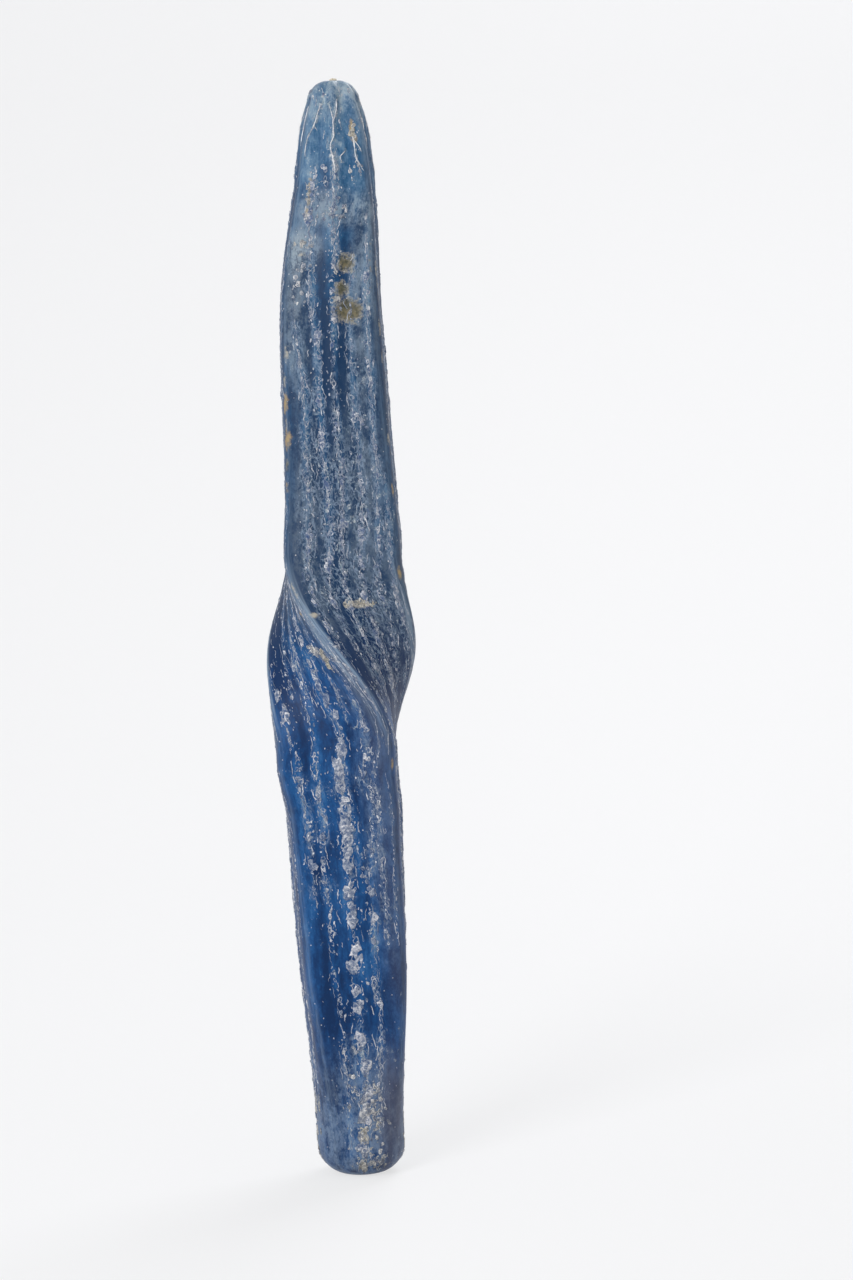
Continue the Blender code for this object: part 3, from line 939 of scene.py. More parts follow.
skinLook = {
    # noises over the wax: turns per metre across and along, shift, swing
    "noises": {
        "streak": (430, 30, 0, 1.0),
        "lump": (55, 36, 0, 1.0),
        "patch": (170, 80, 5, 1.0),
        "blob": (640, 380, 0, 1.6),
        "pebble": (1150, 800, 0, 1.0),
    },
    "upperFrom": 130 * mm,           # the upper part's look begins here
    "upperOver": 20 * mm,
    "turnReach": 0.70,
    "bandFade": 0.9,                 # of the crust at a chain's sides
    # pairs are a value and what a full share adds to it
    "strandWidth": (0.5 * mm, 0.9),
    "laceOnStrand": (0.32, 0.68),
    "strandLace": (0.10, 0.20),
    "laceLevel": 0.10,
    "lacePatches": 0.20,
    "toneLevel": 0.06,
    "tonePatches": 0.14,
    "betweenStrands": (0.22, 0.16),  # how much deeper the blue is there
    "betweenFrom": 16 * mm,          # under the top
    "betweenOver": 30 * mm,
    "tipHaze": 0.75,
    "tipHazeFrom": 3 * mm,
    "tipHazeOver": 10 * mm,
    "chainFrost": (0.24, 0.10),
    "baseFrost": 0.10,
    "frostPatches": 0.12,
    "frostLace": 0.14,
    "frostBlobs": (1.0, 0.5),
    "strayBlobs": 0.10,
    "crestHighlightWidth": 1.6 * mm,          # the painted highlight along the crest of a corner
    "crestHighlight": (0.24, 0.10),
    # at the two ends of a face, beside its corners: distance from the corner, half width, strength
    # the ridge bands are painted highlight beside each crest at the waist
    "faceEnds": {
        "right": {
            "ridge": (1.2 * mm, 3.6 * mm, 0.80),
            "trough": (7.4 * mm, 2.8 * mm, 0.5),
            "shade": (0.0, 1.0 * mm, 0.0),
        },
        "left": {
            "ridge": (0.0, 1.7 * mm, 0.85),
            "trough": (5.0 * mm, 2.6 * mm, 1.0),
            # painted shade on the face that turns away beside the crest at the waist
            "shade": (5.5 * mm, 3.8 * mm, 0.65),
        },
    },
    "paintedShadeFrom": 116 * mm,
    "paintedShadeOver": 12 * mm,
    "ridgeClear": 0.5,               # how far a ridge stays free of crust
    "pinchEnds": (3 * mm, 2 * mm),
    # the pale colour along the pinched ridges is painted highlight
    "pinchHighlight": 0.62,
    "calmWidth": 3.5 * mm,           # the wax is smooth beside a corner
    "calm": 0.88,
    "chainBlobs": 0.7,
    "rippleLevel": 0.3,
    "tipRimPatches": 1.2,
    "chips": {"olive": 1.0, "ochre": 0.4, "cream": -0.5},
}


def outerDetail(chainRows, pinches, face, offset, local, whole, z, flow):
    # relief and marks of a point on the outside of the skin
    look = skinLook
    fromTop = candleTop - z
    nearTip = 1 - ease(fromTop / candleForm["tipBlend"])
    nearFoot = ease(z / candleForm["footBlend"])
    upper = ease((z - look["upperFrom"]) / look["upperOver"])
    turnReach = candleForm["turnLength"] * look["turnReach"]
    nearTurn = 1 - ease(abs(z - candleForm["turnMiddle"]) / turnReach)
    streak, lump, patch, blob, pebble = (
        swing * noiseAt(flow.x * across + shift, flow.y * across, z * along)
        for across, along, shift, swing in look["noises"].values())
    fields = {name: inFields(waxBloom[name + "Fields"], face, offset, z, whole)
              for name in ("lace", "tone", "haze", "slate")}
    chips = {name: inMarks(waxBloom[name + "Marks"], face, offset, z, whole) for name in look["chips"]}

    # crust along the chains, lace and paler tones on and beside them
    band = 0.0
    strand = 0.0
    for centre, halfWidth, strength in chainRows[face]:
        away = abs(offset - centre)
        band = max(band, strength * math.exp(-look["bandFade"] * (away / halfWidth) ** 2))
        strand = max(strand, bell(away, graded(look["strandWidth"], halfWidth)))
    lace = fields["lace"] * graded(look["laceOnStrand"], strand)
    lace += graded(look["strandLace"], upper) * strand - look["laceLevel"] + look["lacePatches"] * patch
    tone = fields["tone"] + look["tonePatches"] * patch + look["toneLevel"]
    belowTip = ease((fromTop - look["betweenFrom"]) / look["betweenOver"])
    tone -= graded(look["betweenStrands"], upper) * (1 - strand) * belowTip
    atTip = 1 - ease((fromTop - look["tipHazeFrom"]) / look["tipHazeOver"])
    haze = fields["haze"] + look["tipHaze"] * atTip
    loose = look["baseFrost"] + look["frostPatches"] * patch + look["frostLace"] * max(lace, 0.0)
    mask = max(graded(look["chainFrost"], upper) * band, loose)
    frost = mask * graded(look["frostBlobs"], blob) + look["strayBlobs"] * blob

    # the corners stand out in a narrow crest at the waist, with a hollow beside it. The pale crest and
    # the band beside it are painted highlight, and the face that turns away there gets painted shade
    corner = (whole - abs(offset)) / math.cos(local)
    ridge = bell(corner, look["crestHighlightWidth"]) * graded(look["crestHighlight"], nearTip)
    end = look["faceEnds"]["right" if offset > 0 else "left"]
    distance, width, strength = end["ridge"]
    ridge = max(ridge, nearTurn * strength * bell(corner - distance, width, 4))
    distance, width, strength = end["trough"]
    trough = strength * bell(corner - distance, width)
    # painted shade on the face that turns away beside the crest at the waist
    distance, width, strength = end["shade"]
    shaded = nearTurn * ease((z - look["paintedShadeFrom"]) / look["paintedShadeOver"])
    tone -= strength * shaded * bell(corner - distance, width)
    frost *= 1 - look["ridgeClear"] * nearTurn * ridge

    pinch = 0.0
    for pinchFace, low, high, curve in pinches:
        if pinchFace == face and low < z < high:
            below, above = look["pinchEnds"]
            share = ease((z - low) / below) * ease((high - z) / above)
            line = share * bell(offset - curve(z), blueSkin["pinchWidth"])
            pinch = max(pinch, line * blueSkin["pinchRise"])
            # pale colour along the pinched ridge: painted highlight
            frost = max(frost, look["pinchHighlight"] * line)

    nearCorner = bell(corner, look["calmWidth"])
    calm = 1 - look["calm"] * nearCorner
    relief = blueSkin["lumps"] * lump * calm + blueSkin["grooves"] * streak * nearFoot * calm
    relief += blueSkin["chainRise"] * band * (1 + look["chainBlobs"] * blob) * (1 - nearCorner)
    relief += blueSkin["ripple"] * pebble * (look["rippleLevel"] + max(lace, 0.0)) * calm
    relief += blueSkin["cornerPinch"] * nearTurn * bell(corner, blueSkin["cornerPinchWidth"])
    relief -= blueSkin["cornerTrough"] * nearTurn * trough
    rolled = bell(fromTop - blueSkin["tipRimDrop"], blueSkin["tipRimHalf"])
    relief += blueSkin["tipRim"] * rolled * (1 + look["tipRimPatches"] * patch)
    relief += pinch
    relief -= blueSkin["chipDepth"] * sum(share * chips[name] for name, share in look["chips"].items())
    marks = {"frost": frost, "lace": lace, "tone": tone, "ridge": ridge, "haze": haze,
             "slate": fields["slate"], **chips}
    return relief, marks


def arc(radius, rows):
    # how far a rounding draws in, from nothing to its whole radius
    return [radius * (1 - math.cos(math.pi / 2 * i / rows)) for i in range(rows + 1)]


def skinRows():
    # rows from the middle of the foot's flat, up the outside, into the wick's hole and down the inside:
    # kind, height, and a radius or how far the row lies inside the surface
    coat = candleForm["coat"]
    footEdge = candleForm["footEdge"]
    tipEdge = candleForm["tipEdge"]
    rings = blueSkin["flatRings"]
    rows = [("flat", 0.0, (widthAt(0.0) - footEdge) * i / rings) for i in range(rings)]
    rows += [("outside", height, 0.0) for height in arc(footEdge, blueSkin["footRows"])[:-1]]
    straight = candleTop - tipEdge - footEdge
    count = math.ceil(straight / blueSkin["rowStep"])
    rows += [("outside", footEdge + straight * i / count, 0.0) for i in range(count)]
    rows += [("outside", candleTop - drop, 0.0) for drop in reversed(arc(tipEdge, blueSkin["tipRows"]))]
    rows += [("hole", candleTop + rise * mm, radius * mm) for rise, radius in blueSkin["collar"]]
    innerTop = candleTop - coat
    innerTip = tipEdge - coat
    rows += [("inside", innerTop - drop, coat) for drop in arc(innerTip, blueSkin["innerTipRows"])]
    straight = innerTop - innerTip - footEdge
    count = math.ceil(straight / blueSkin["innerStep"])
    rows += [("inside", footEdge + straight * (1 - i / count), coat) for i in range(1, count + 1)]
    lowest = reversed(arc(footEdge - coat, blueSkin["innerFootRows"])[:-1])
    rows += [("inside", coat + height, coat) for height in lowest]
    rows.append(("flat", coat, 0.0))
    return rows


class SkinMap:
    # finds places on the finished skin from a face, a height and an offset

    def __init__(self, heights, rings):
        self.heights = heights
        self.rings = rings

    def place(self, face, z, offset, lift):
        heights = self.heights
        row = min(max(bisect.bisect_right(heights, z) - 1, 0), len(heights) - 2)
        up = min(max((z - heights[row]) / (heights[row + 1] - heights[row]), 0.0), 1.0)
        columns = blueSkin["columns"]
        angle = face * math.pi / 2 + math.atan2(offset, widthAt(z))
        column = angle / (2 * math.pi) * columns % columns
        left = int(column) % columns
        across = column % 1.0
        right = (left + 1) % columns
        low, high = self.rings[row], self.rings[row + 1]
        point = low[left].lerp(low[right], across).lerp(high[left].lerp(high[right], across), up)
        outward = (low[right] - low[left]).cross(high[left] - low[left]).normalized()
        point += outward * lift
        point.z = max(point.z, 0.1 * mm)
        return point


def sectionAt(z, angle, inset):
    # the plain section without its relief: half width, reach of its square form, radius
    whole = widthAt(z)
    power = squareAt(z)
    spread = (abs(math.cos(angle)) ** power + abs(math.sin(angle)) ** power) ** (-1 / power)
    nearTip = 1 - ease((candleTop - z) / candleForm["tipBlend"])
    nearTurn = 1 - ease(abs(z - candleForm["turnMiddle"]) / candleForm["turnLength"])
    rib = graded((candleForm["bodyRib"], candleForm["tipRib"] - candleForm["bodyRib"]), nearTip)
    rib *= ease(z / candleForm["footBlend"])
    hollow = candleForm["waistHollow"] * nearTurn * math.cos(2 * angle) ** 2
    drawn = candleForm["waistPinch"] * nearTurn * math.sin(2 * angle) ** 8
    swell = 1 + (rib * math.cos(candleForm["ribCount"] * angle) - hollow + drawn) / whole
    return whole, spread, halfAt(z, inset) * spread * swell


def makeWaxSkin():
    rows = skinRows()
    columns = blueSkin["columns"]
    chains = [faceChains(face) for face in range(4)]
    chainRows = [[rowOfChains(faceList, z) for faceList in chains] if kind == "outside" else None
                 for kind, z, size in rows]
    overrun = blueSkin["pinchOverrun"]
    pinches = [(face, low - overrun, high + overrun, curve) for face, low, high, curve in pinchCurves()]
    rings = {row: {} for row, (kind, z, size) in enumerate(rows) if kind == "outside"}
    bm = bmesh.new()
    flowLayer = bm.verts.layers.float_vector.new("flow")
    layers = {name: bm.verts.layers.float.new(name) for name in markNames}

    def skinPoint(row, column):
        kind, z, size = rows[row]
        angle = 2 * math.pi * column / columns
        heading = angle + turnAt(z)
        marks = dict.fromkeys(markNames, 0.0)
        radius = size
        if kind == "hole":
            marks.update(blueSkin["collarMarks"])
        elif kind != "flat":
            whole, spread, radius = sectionAt(z, angle, size)
        if kind == "outside":
            plain = Vector((whole * spread * math.cos(angle), whole * spread * math.sin(angle), z))
            quarter = round(angle / (math.pi / 2))
            local = angle - quarter * math.pi / 2
            offset = whole * math.tan(local)
            relief, marks = outerDetail(chainRows[row], pinches, quarter % 4, offset, local, whole,
                                        z, plain)
            radius += relief * min(halfAt(z, size) / whole, 1.0) ** 0.5
            leftness = max(0.0, -math.cos(heading)) ** 2
            for height, halfHeight, change in blueSkin["hip"]:
                radius += change * leftness * bell(z - height, halfHeight)
        flow = Vector((radius * math.cos(angle), radius * math.sin(angle), z))
        place = Vector((swayAt(z) + radius * math.cos(heading), radius * math.sin(heading), z))
        if kind == "outside":
            rings[row][column] = place
        values = {layers[name]: value for name, value in marks.items()}
        values[flowLayer] = flow
        return place, values

    rolledGrid(bm, columns, len(rows), skinPoint)
    skinMap = SkinMap([rows[row][1] for row in rings], list(rings.values()))
    return linkPiece("waxSkin", bm, blueWax), skinMap


print("stage: wax skin")
waxSkin, skinMap = makeWaxSkin()
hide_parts("blue_coat")


# The crust: flakes laid along the chains and in clusters, each a small closed cap let into the skin

crust = {
    "seed": 41,
    # rings from the middle of the top over the rim to the middle of the underside: radius, level
    "flakeProfile": [(0.0, 0.45), (0.42, 0.50), (0.80, 1.0), (1.0, -0.20), (0.70, -1.0), (0.0, -1.0)],
    "flakeSpokes": 10,
    # a ring runs from its inner foot over its crest to its outer foot and back below
    "ringProfile": [(0.50, -1.0), (0.52, 0.1), (0.74, 1.0), (1.0, -0.2), (0.80, -1.0), (0.50, -1.0)],
    "ringSpokes": 11,
    "ringHole": (0.25, 0.62),         # radius of the hole in a ring of radius 1
    "ringShare": 0.60,                # how many of the big flakes are rings, fewer on the main chain
    "ringShareOnPlates": 0.38,
    "crumbProfile": [(0.0, 0.9), (0.60, 1.0), (1.0, -0.25), (0.0, -1.0)],
    "crumbSpokes": 7,
    # very small crumbs between the chains: face, height, offset, half height, half width, how many
    "sprinkles": [
        (2, 100.0, -3.0, 36.0, 8.0, 420),
        (2, 24.0, 0.0, 24.0, 10.0, 110),
        (3, 196.0, 0.0, 52.0, 11.0, 260),
        (3, 256.0, 0.0, 20.0, 7.0, 90),
        (3, 70.0, 0.0, 66.0, 11.0, 200),
        (2, 210.0, 0.0, 60.0, 11.0, 200),
    ],
    "sprinkleHalf": (0.06 * mm, 0.17 * mm),
    "sprinkleLength": (0.8, 3.0),     # half height, in half widths
    "sprinkleWarmth": 0.1,
    "height": 0.13 * mm,
    "heightShare": (0.6, 1.5),
    "fullHeightFrom": 0.4 * mm,       # narrower flakes are lower
    "highest": 1.3,
    "step": (0.8 * mm, 1.5 * mm),     # from flake to flake along a chain
    "smallest": 0.30 * mm,            # half width, below it a flake is a crumb
    "largest": 1.30 * mm,
    "endRoom": 1.5 * mm,
    "plateWidth": 1.2 * mm,           # half width of a chain that carries two flakes side by side
    # how likely a flake and a crumb are at a step, and the flake more so on a bead
    "flakeChance": 0.15,
    "beadChance": 0.75,
    "crumbChance": (0.45, 0.6),       # the second is what a strong chain adds
    "flakeHalf": (0.36, 0.70),        # in half widths of the chain
    "flakeLength": (0.9, 1.9),
    "leastRoom": 0.25 * mm,
    "crumbHalf": (0.13, 0.36),        # in mm
    "crumbLength": (0.8, 2.4),
    "crumbDrift": 0.5,
    "crumbSpread": 0.9,
    "crumbRingShare": 0.9,
    "clusterHalf": (0.15, 0.62),      # in mm
    "clusterLength": (0.7, 1.6),
    "clusterSpread": 0.55,
    "clusterWarmth": (0.6, 1.0),
    "clusterRingShare": 0.4,
    "ragged": (0.63, 0.42),           # how much a flake's outline wanders, in wide and in fine turns
    "raggedTurns": (1.4, 3.3),
    "slant": 0.35,
    "gap": (0.0, 1.1),                # how deep one side of a ring sinks
    "gapDepth": 0.7,
    "roughTurns": 2300,
    "roughness": 0.8,
    "rimLevel": 0.6,
    "shade": (0.0, 0.9),
    # some flakes and crumbs are brighter: partly white bits of bloom, partly painted glints
    "whiteBitAndGlintChance": 0.12,
    "whiteBitAndGlintLift": 0.5,
    "ringShade": (0.3, 0.7),          # least, and the share of the drawn shade
    "flakeShade": 0.8,
    "dimmed": 0.22,                   # the crust is darker from the waist to the upper quarter
    "dimmedFrom": 140 * mm,
    "dimmedTo": 235 * mm,
    "dimmedOver": 20 * mm,
    "cornerDip": 0.9,                 # flakes are lower at the corners
    "cornerWidth": 3 * mm,
    "parting": 135.0 * mm,            # the height that parts the lower from the upper crust
    "warmFoot": 26.0 * mm,            # below it the crust is beige
    "warmOver": 10 * mm,
    "warmth": 0.75,
}


def template(name, columns, rows, pointAt):
    # a small closed form, of which copies are laid on the skin
    bm = bmesh.new()
    rolledGrid(bm, columns, rows, pointAt)
    weld(bm)
    return meshFrom(bm, name)


def roundTemplate(name, spokes, profile):
    def profilePoint(row, column):
        radius, level = profile[row]
        angle = 2 * math.pi * column / spokes
        return Vector((radius * math.cos(angle), radius * math.sin(angle), level)), {}

    return template(name, spokes, len(profile), profilePoint)


def farSide(face, number):
    # every second one of a scatter lies on the far side of the candle
    return (face + 2 * (number % 2)) % 4


def flakeMaker(draw, kind, face, z, offset, halfWidth, halfHeight, warmth):
    # a function that puts a point of the template on the skin
    seed = draw.uniform(0, 90)
    shade = draw.uniform(*crust["shade"])
    # partly white bits of bloom, partly painted glints
    if draw.random() < crust["whiteBitAndGlintChance"]:
        shade += crust["whiteBitAndGlintLift"]
    if kind == "rings":
        shade = graded(crust["ringShade"], shade)
    dimmedUp = ease((z - crust["dimmedFrom"]) / crust["dimmedOver"])
    dimmedDown = ease((crust["dimmedTo"] - z) / crust["dimmedOver"])
    shade *= 1 - crust["dimmed"] * dimmedUp * dimmedDown
    if kind != "crumbs":
        shade *= crust["flakeShade"]
    height = crust["height"] * draw.uniform(*crust["heightShare"])
    height *= min(halfWidth / crust["fullHeightFrom"], crust["highest"])
    slant = draw.uniform(-crust["slant"], crust["slant"])
    low = 1 - crust["cornerDip"] * bell(widthAt(z) - abs(offset), crust["cornerWidth"])
    hole = draw.uniform(*crust["ringHole"])
    gap = draw.uniform(*crust["gap"]) if kind == "rings" else 0.0
    gapAngle = draw.uniform(0, 2 * math.pi)
    wideTurns, fineTurns = crust["raggedTurns"]
    wideSwing, fineSwing = crust["ragged"]

    def put(spot):
        reach = math.hypot(spot.x, spot.y)
        ragged = 1.0
        sunk = 0.0
        if reach > 0:
            x, y = spot.x / reach, spot.y / reach
            wide = noiseAt(x * wideTurns + seed, y * wideTurns, seed * 0.4)
            fine = noiseAt(x * fineTurns, y * fineTurns + seed, 4.0)
            ragged += wideSwing * wide
            ragged += fineSwing * fine
            sunk = gap * crust["gapDepth"] * (1 - math.cos(math.atan2(y, x) - gapAngle))
        if kind == "rings":
            ragged *= (hole + (reach - 0.5) / 0.5 * (1 - hole)) / reach
        up = halfHeight * ragged * spot.y
        side = halfWidth * ragged * spot.x + slant * up
        turns = crust["roughTurns"]
        rough = noiseAt(side * turns + seed, up * turns, seed)
        level = spot.z * (1 + crust["roughness"] * rough if spot.z > 0 else 1.0)
        rim = max(0.0, 1 - abs(spot.z - 1.0) * 2) * (crust["rimLevel"] + rough)
        point = skinMap.place(face, z + up, offset + side, height * (level - sunk) * low)
        return point, {"rim": rim, "shade": shade, "warmth": warmth}

    return put


def crustFlakes(draw):
    # every flake: its height, its kind and its maker
    flakes = []

    def addFlake(face, z, offset, half, length, warmth, ringShare):
        kind = "crumbs"
        if half > crust["smallest"]:
            kind = "rings" if draw.random() < ringShare else "flakes"
        z = min(max(z, crust["endRoom"]), candleTop - crust["endRoom"])
        flakes.append((z, kind, flakeMaker(draw, kind, face, z, offset, half, half * length, warmth)))

    def addAtStep(face, z, centre, halfWidth, strength, bead):
        # the flakes and crumbs at one step along a chain
        warmth = crust["warmth"] * ease((crust["warmFoot"] - z) / crust["warmOver"]) * draw.random()
        plates = halfWidth > crust["plateWidth"]
        ringShare = crust["ringShareOnPlates"] if plates else crust["ringShare"]
        for turn in range(2 if plates else 1):
            if draw.random() < crust["flakeChance"] + crust["beadChance"] * bead * strength:
                half = min(halfWidth * draw.uniform(*crust["flakeHalf"]), crust["largest"])
                room = max(halfWidth - half, crust["leastRoom"])
                place = centre + draw.uniform(-room, room)
                addFlake(face, z, place, half, draw.uniform(*crust["flakeLength"]), warmth, ringShare)
        if draw.random() < graded(crust["crumbChance"], strength):
            half = draw.uniform(*crust["crumbHalf"]) * mm
            z += draw.uniform(-crust["crumbDrift"], crust["crumbDrift"]) * mm
            place = centre + draw.gauss(0, crust["crumbSpread"]) * halfWidth
            length = draw.uniform(*crust["crumbLength"])
            addFlake(face, z, place, half, length, warmth, crust["crumbRingShare"])

    for face in range(4):
        for chain in faceChains(face):
            z = chain["low"]
            while z < chain["high"]:
                z += draw.uniform(*crust["step"])
                found = chainAt(chain, z)
                if found:
                    addAtStep(face, z, *found)
    spread = crust["clusterSpread"]
    for face, height, offset, halfHeight, halfWidth, count, warmth in waxBloom["clusters"]:
        for number in range(count):
            half = draw.uniform(*crust["clusterHalf"]) * mm
            z = (height + draw.gauss(0, spread) * halfHeight) * mm
            place = (offset + draw.gauss(0, spread) * halfWidth) * mm
            length = draw.uniform(*crust["clusterLength"])
            warm = warmth * draw.uniform(*crust["clusterWarmth"])
            addFlake(face, z, place, half, length, warm, crust["clusterRingShare"])
    for face, height, offset, halfHeight, halfWidth, count in crust["sprinkles"]:
        for number in range(count):
            half = draw.uniform(*crust["sprinkleHalf"])
            z = (height + draw.uniform(-1, 1) * halfHeight) * mm
            place = (offset + draw.uniform(-1, 1) * halfWidth) * mm
            length = draw.uniform(*crust["sprinkleLength"])
            addFlake(farSide(face, number), z, place, half, length, crust["sprinkleWarmth"], 0)
    return flakes


def layOut(name, templateMesh, makers):
    # copies the template once for each maker, and lets the makers place its points
    bm = bmesh.new()
    layers = {mark: bm.verts.layers.float.new(mark) for mark in flakeMarks}
    for maker in makers:
        bm.from_mesh(templateMesh)
    spots = [vert.co.copy() for vert in templateMesh.vertices]
    verts = iter(bm.verts)
    for maker in makers:
        for spot in spots:
            vert = next(verts)
            vert.co, marks = maker(spot)
            for mark, value in marks.items():
                vert[layers[mark]] = value
    return meshFrom(bm, name)


def linkCrust(name, meshes):
    # joins the laid out meshes into one piece
    bm = bmesh.new()
    for mesh in meshes:
        bm.from_mesh(mesh)
        bpy.data.meshes.remove(mesh)
    piece = linkPiece(name, bm, paleCrust)


def makeCrust():
    draw = random.Random(crust["seed"])
    templates = {
        "flakes": roundTemplate("flake", crust["flakeSpokes"], crust["flakeProfile"]),
        "rings": roundTemplate("ring", crust["ringSpokes"], crust["ringProfile"]),
        "crumbs": roundTemplate("crumb", crust["crumbSpokes"], crust["crumbProfile"]),
    }
    flakes = crustFlakes(draw)
    for part, low, high in (("lower", 0.0, crust["parting"]), ("upper", crust["parting"], candleTop)):
        makers = {kind: [maker for z, flakeKind, maker in flakes if low <= z < high and flakeKind == kind]
                  for kind in templates}
        for name, kinds in (("Crust", ("flakes", "rings")), ("Crumbs", ("crumbs",))):
            linkCrust(part + name, [layOut(kind, templates[kind], makers[kind]) for kind in kinds])
    for mesh in templates.values():
        bpy.data.meshes.remove(mesh)


print("stage: crust")
makeCrust()


# Thin raised threads of bloom, mostly lengthwise, in fields and beside the chains

frostThreads = {
    "seed": 12,
    "stations": 8,
    "pinchStations": 44,
    "pinchHalfWidth": 0.20 * mm,
    "pinchHeight": 0.20 * mm,
    "halfWidth": (0.09 * mm, 0.19 * mm),
    "height": (0.05 * mm, 0.12 * mm),
    "length": (0.9 * mm, 3.4 * mm),
    "lean": 0.16,                     # radians, as a spread
    "wander": 0.34 * mm,
    "kink": 0.34 * mm,
    "gather": 0.86,                   # how far a thread is drawn to the nearest chain
    "besideChains": 2.6 * mm,         # from thread to thread along a chain
    "besideStep": (0.6, 1.4),
    "besideAway": (0.5, 1.7),         # from the chain's middle, in its half widths
    "besideLength": (1.0, 3.6),       # in mm
    "besideShade": (0.3, 0.4),        # the second is what a strong chain adds
    "bow": 0.20,
    "shadeSpread": 0.28,
    "brightest": 1.2,
    # along a thread: turns per metre of its wander, its kinks and its width
    "wanderTurns": 520,
    "kinkTurns": 1300,
    "widthTurns": 1500,
    "unevenWidth": 0.6,
    "rim": 0.35,
    "warmth": 0.05,
    "endRoom": 1.5 * mm,
    # the long threads on the pinched ridges, whose bright colour is painted highlight
    "pinchWander": 0.16 * mm,
    "pinchWanderTurns": 700,
    "pinchWidthTurns": 500,
    "pinchUnevenWidth": 0.9,
    "pinchRim": 0.5,
    "pinchHighlightShade": (1.2, 0.5),
    "pinchHighlightShadeTurns": 300,
    # face, height, offset, half height, half width, how many, shade
    "fields": [
        (3, 166.0, 5.0, 34.0, 9.5, 300, 0.42),
        (3, 164.0, -5.0, 30.0, 8.5, 210, 0.40),
        # few and dim threads here, darkened as painted shade of the face that turns away at the waist
        (3, 136.0, 7.0, 18.0, 9.0, 70, 0.10),
        (3, 212.0, -8.0, 30.0, 4.5, 110, 0.40),
        (3, 212.0, 8.5, 28.0, 4.0, 90, 0.40),
        (3, 246.0, 0.0, 14.0, 9.0, 120, 0.40),
        (3, 270.0, 0.0, 7.0, 6.0, 26, 0.60),
        (2, 270.0, 0.0, 7.0, 6.0, 26, 0.60),
        (2, 96.0, 9.0, 44.0, 5.0, 130, 0.30),
        (2, 96.0, -2.0, 42.0, 9.5, 120, 0.30),
        (2, 26.0, 1.0, 22.0, 8.0, 130, 0.45),
        (2, 178.0, 0.0, 70.0, 10.0, 260, 0.40),
        (3, 70.0, 0.0, 64.0, 10.0, 230, 0.35),
    ],
    # long fine pale lines on the crests of the waist, a painted sheen: height, distance from the corner,
    # how many
    "crestSheenLines": [(132.0, 1.0, 16), (132.0, 3.0, 14)],
    "crestReach": 20,                 # up and down, in mm
    "crestSpread": 0.8,
    "crestLength": (3.0, 9.0),
    "crestSheenShade": 0.75,
}


def threadMaker(draw, face, z, offset, length, shade):
    look = frostThreads
    halfWidth = draw.uniform(*look["halfWidth"])
    height = draw.uniform(*look["height"])
    seed = draw.uniform(0, 90)
    slant = math.tan(draw.gauss(0, look["lean"]))
    bow = draw.gauss(0, look["bow"])
    tone = min(max(shade + draw.gauss(0, look["shadeSpread"]), 0.0), look["brightest"])

    def put(spot):
        # the template runs along Y from 0 to 1
        run = (spot.y - 0.5) * length
        taper = math.sin(math.pi * (0.08 + 0.84 * spot.y)) ** 0.5
        side = slant * run + bow * length * (spot.y - 0.5) ** 2
        side += look["wander"] * noiseAt(seed, run * look["wanderTurns"], 0)
        side += look["kink"] * noiseAt(seed, run * look["kinkTurns"], 7)
        uneven = noiseAt(seed, run * look["widthTurns"], 3)
        side += spot.x * halfWidth * taper * (1 + look["unevenWidth"] * uneven)
        lift = height * spot.z * (taper if spot.z > 0 else 1.0)
        point = skinMap.place(face, z + run, offset + side, lift)
        return point, {"rim": look["rim"], "shade": tone, "warmth": look["warmth"]}

    return put


def pinchMaker(draw, face, low, high, curve):
    # one long thread that follows a pinched ridge, bright as a painted highlight
    look = frostThreads
    seed = draw.uniform(0, 90)
    halfWidth, height = look["pinchHalfWidth"], look["pinchHeight"]

    def put(spot):
        z = low + (high - low) * spot.y
        taper = math.sin(math.pi * (0.03 + 0.94 * spot.y)) ** 0.4
        uneven = noiseAt(seed, z * look["pinchWidthTurns"], 3)
        swell = taper * (1 + look["pinchUnevenWidth"] * uneven)
        wander = noiseAt(seed, z * look["pinchWanderTurns"], 7)
        across = curve(z) + look["pinchWander"] * wander + spot.x * halfWidth * swell
        point = skinMap.place(face, z, across, height * spot.z * (swell if spot.z > 0 else 1.0))
        shade = graded(look["pinchHighlightShade"], noiseAt(seed, z * look["pinchHighlightShadeTurns"], 1))
        return point, {"rim": look["pinchRim"], "shade": shade, "warmth": look["warmth"]}

    return put


def threadTemplate(name, stations):
    # a low ridge with a shut end at both ends
    sides = [(-1.0, -0.25), (0.0, 1.0), (1.0, -0.25), (0.0, -0.8)]

    def ridgePoint(row, column):
        along = min(max(row - 1, 0), stations - 1) / (stations - 1)
        x, level = sides[column]
        if row in (0, stations + 1):
            x, level = 0.0, -0.2
        return Vector((x, along, level)), {}

    return template(name, len(sides), stations + 2, ridgePoint)


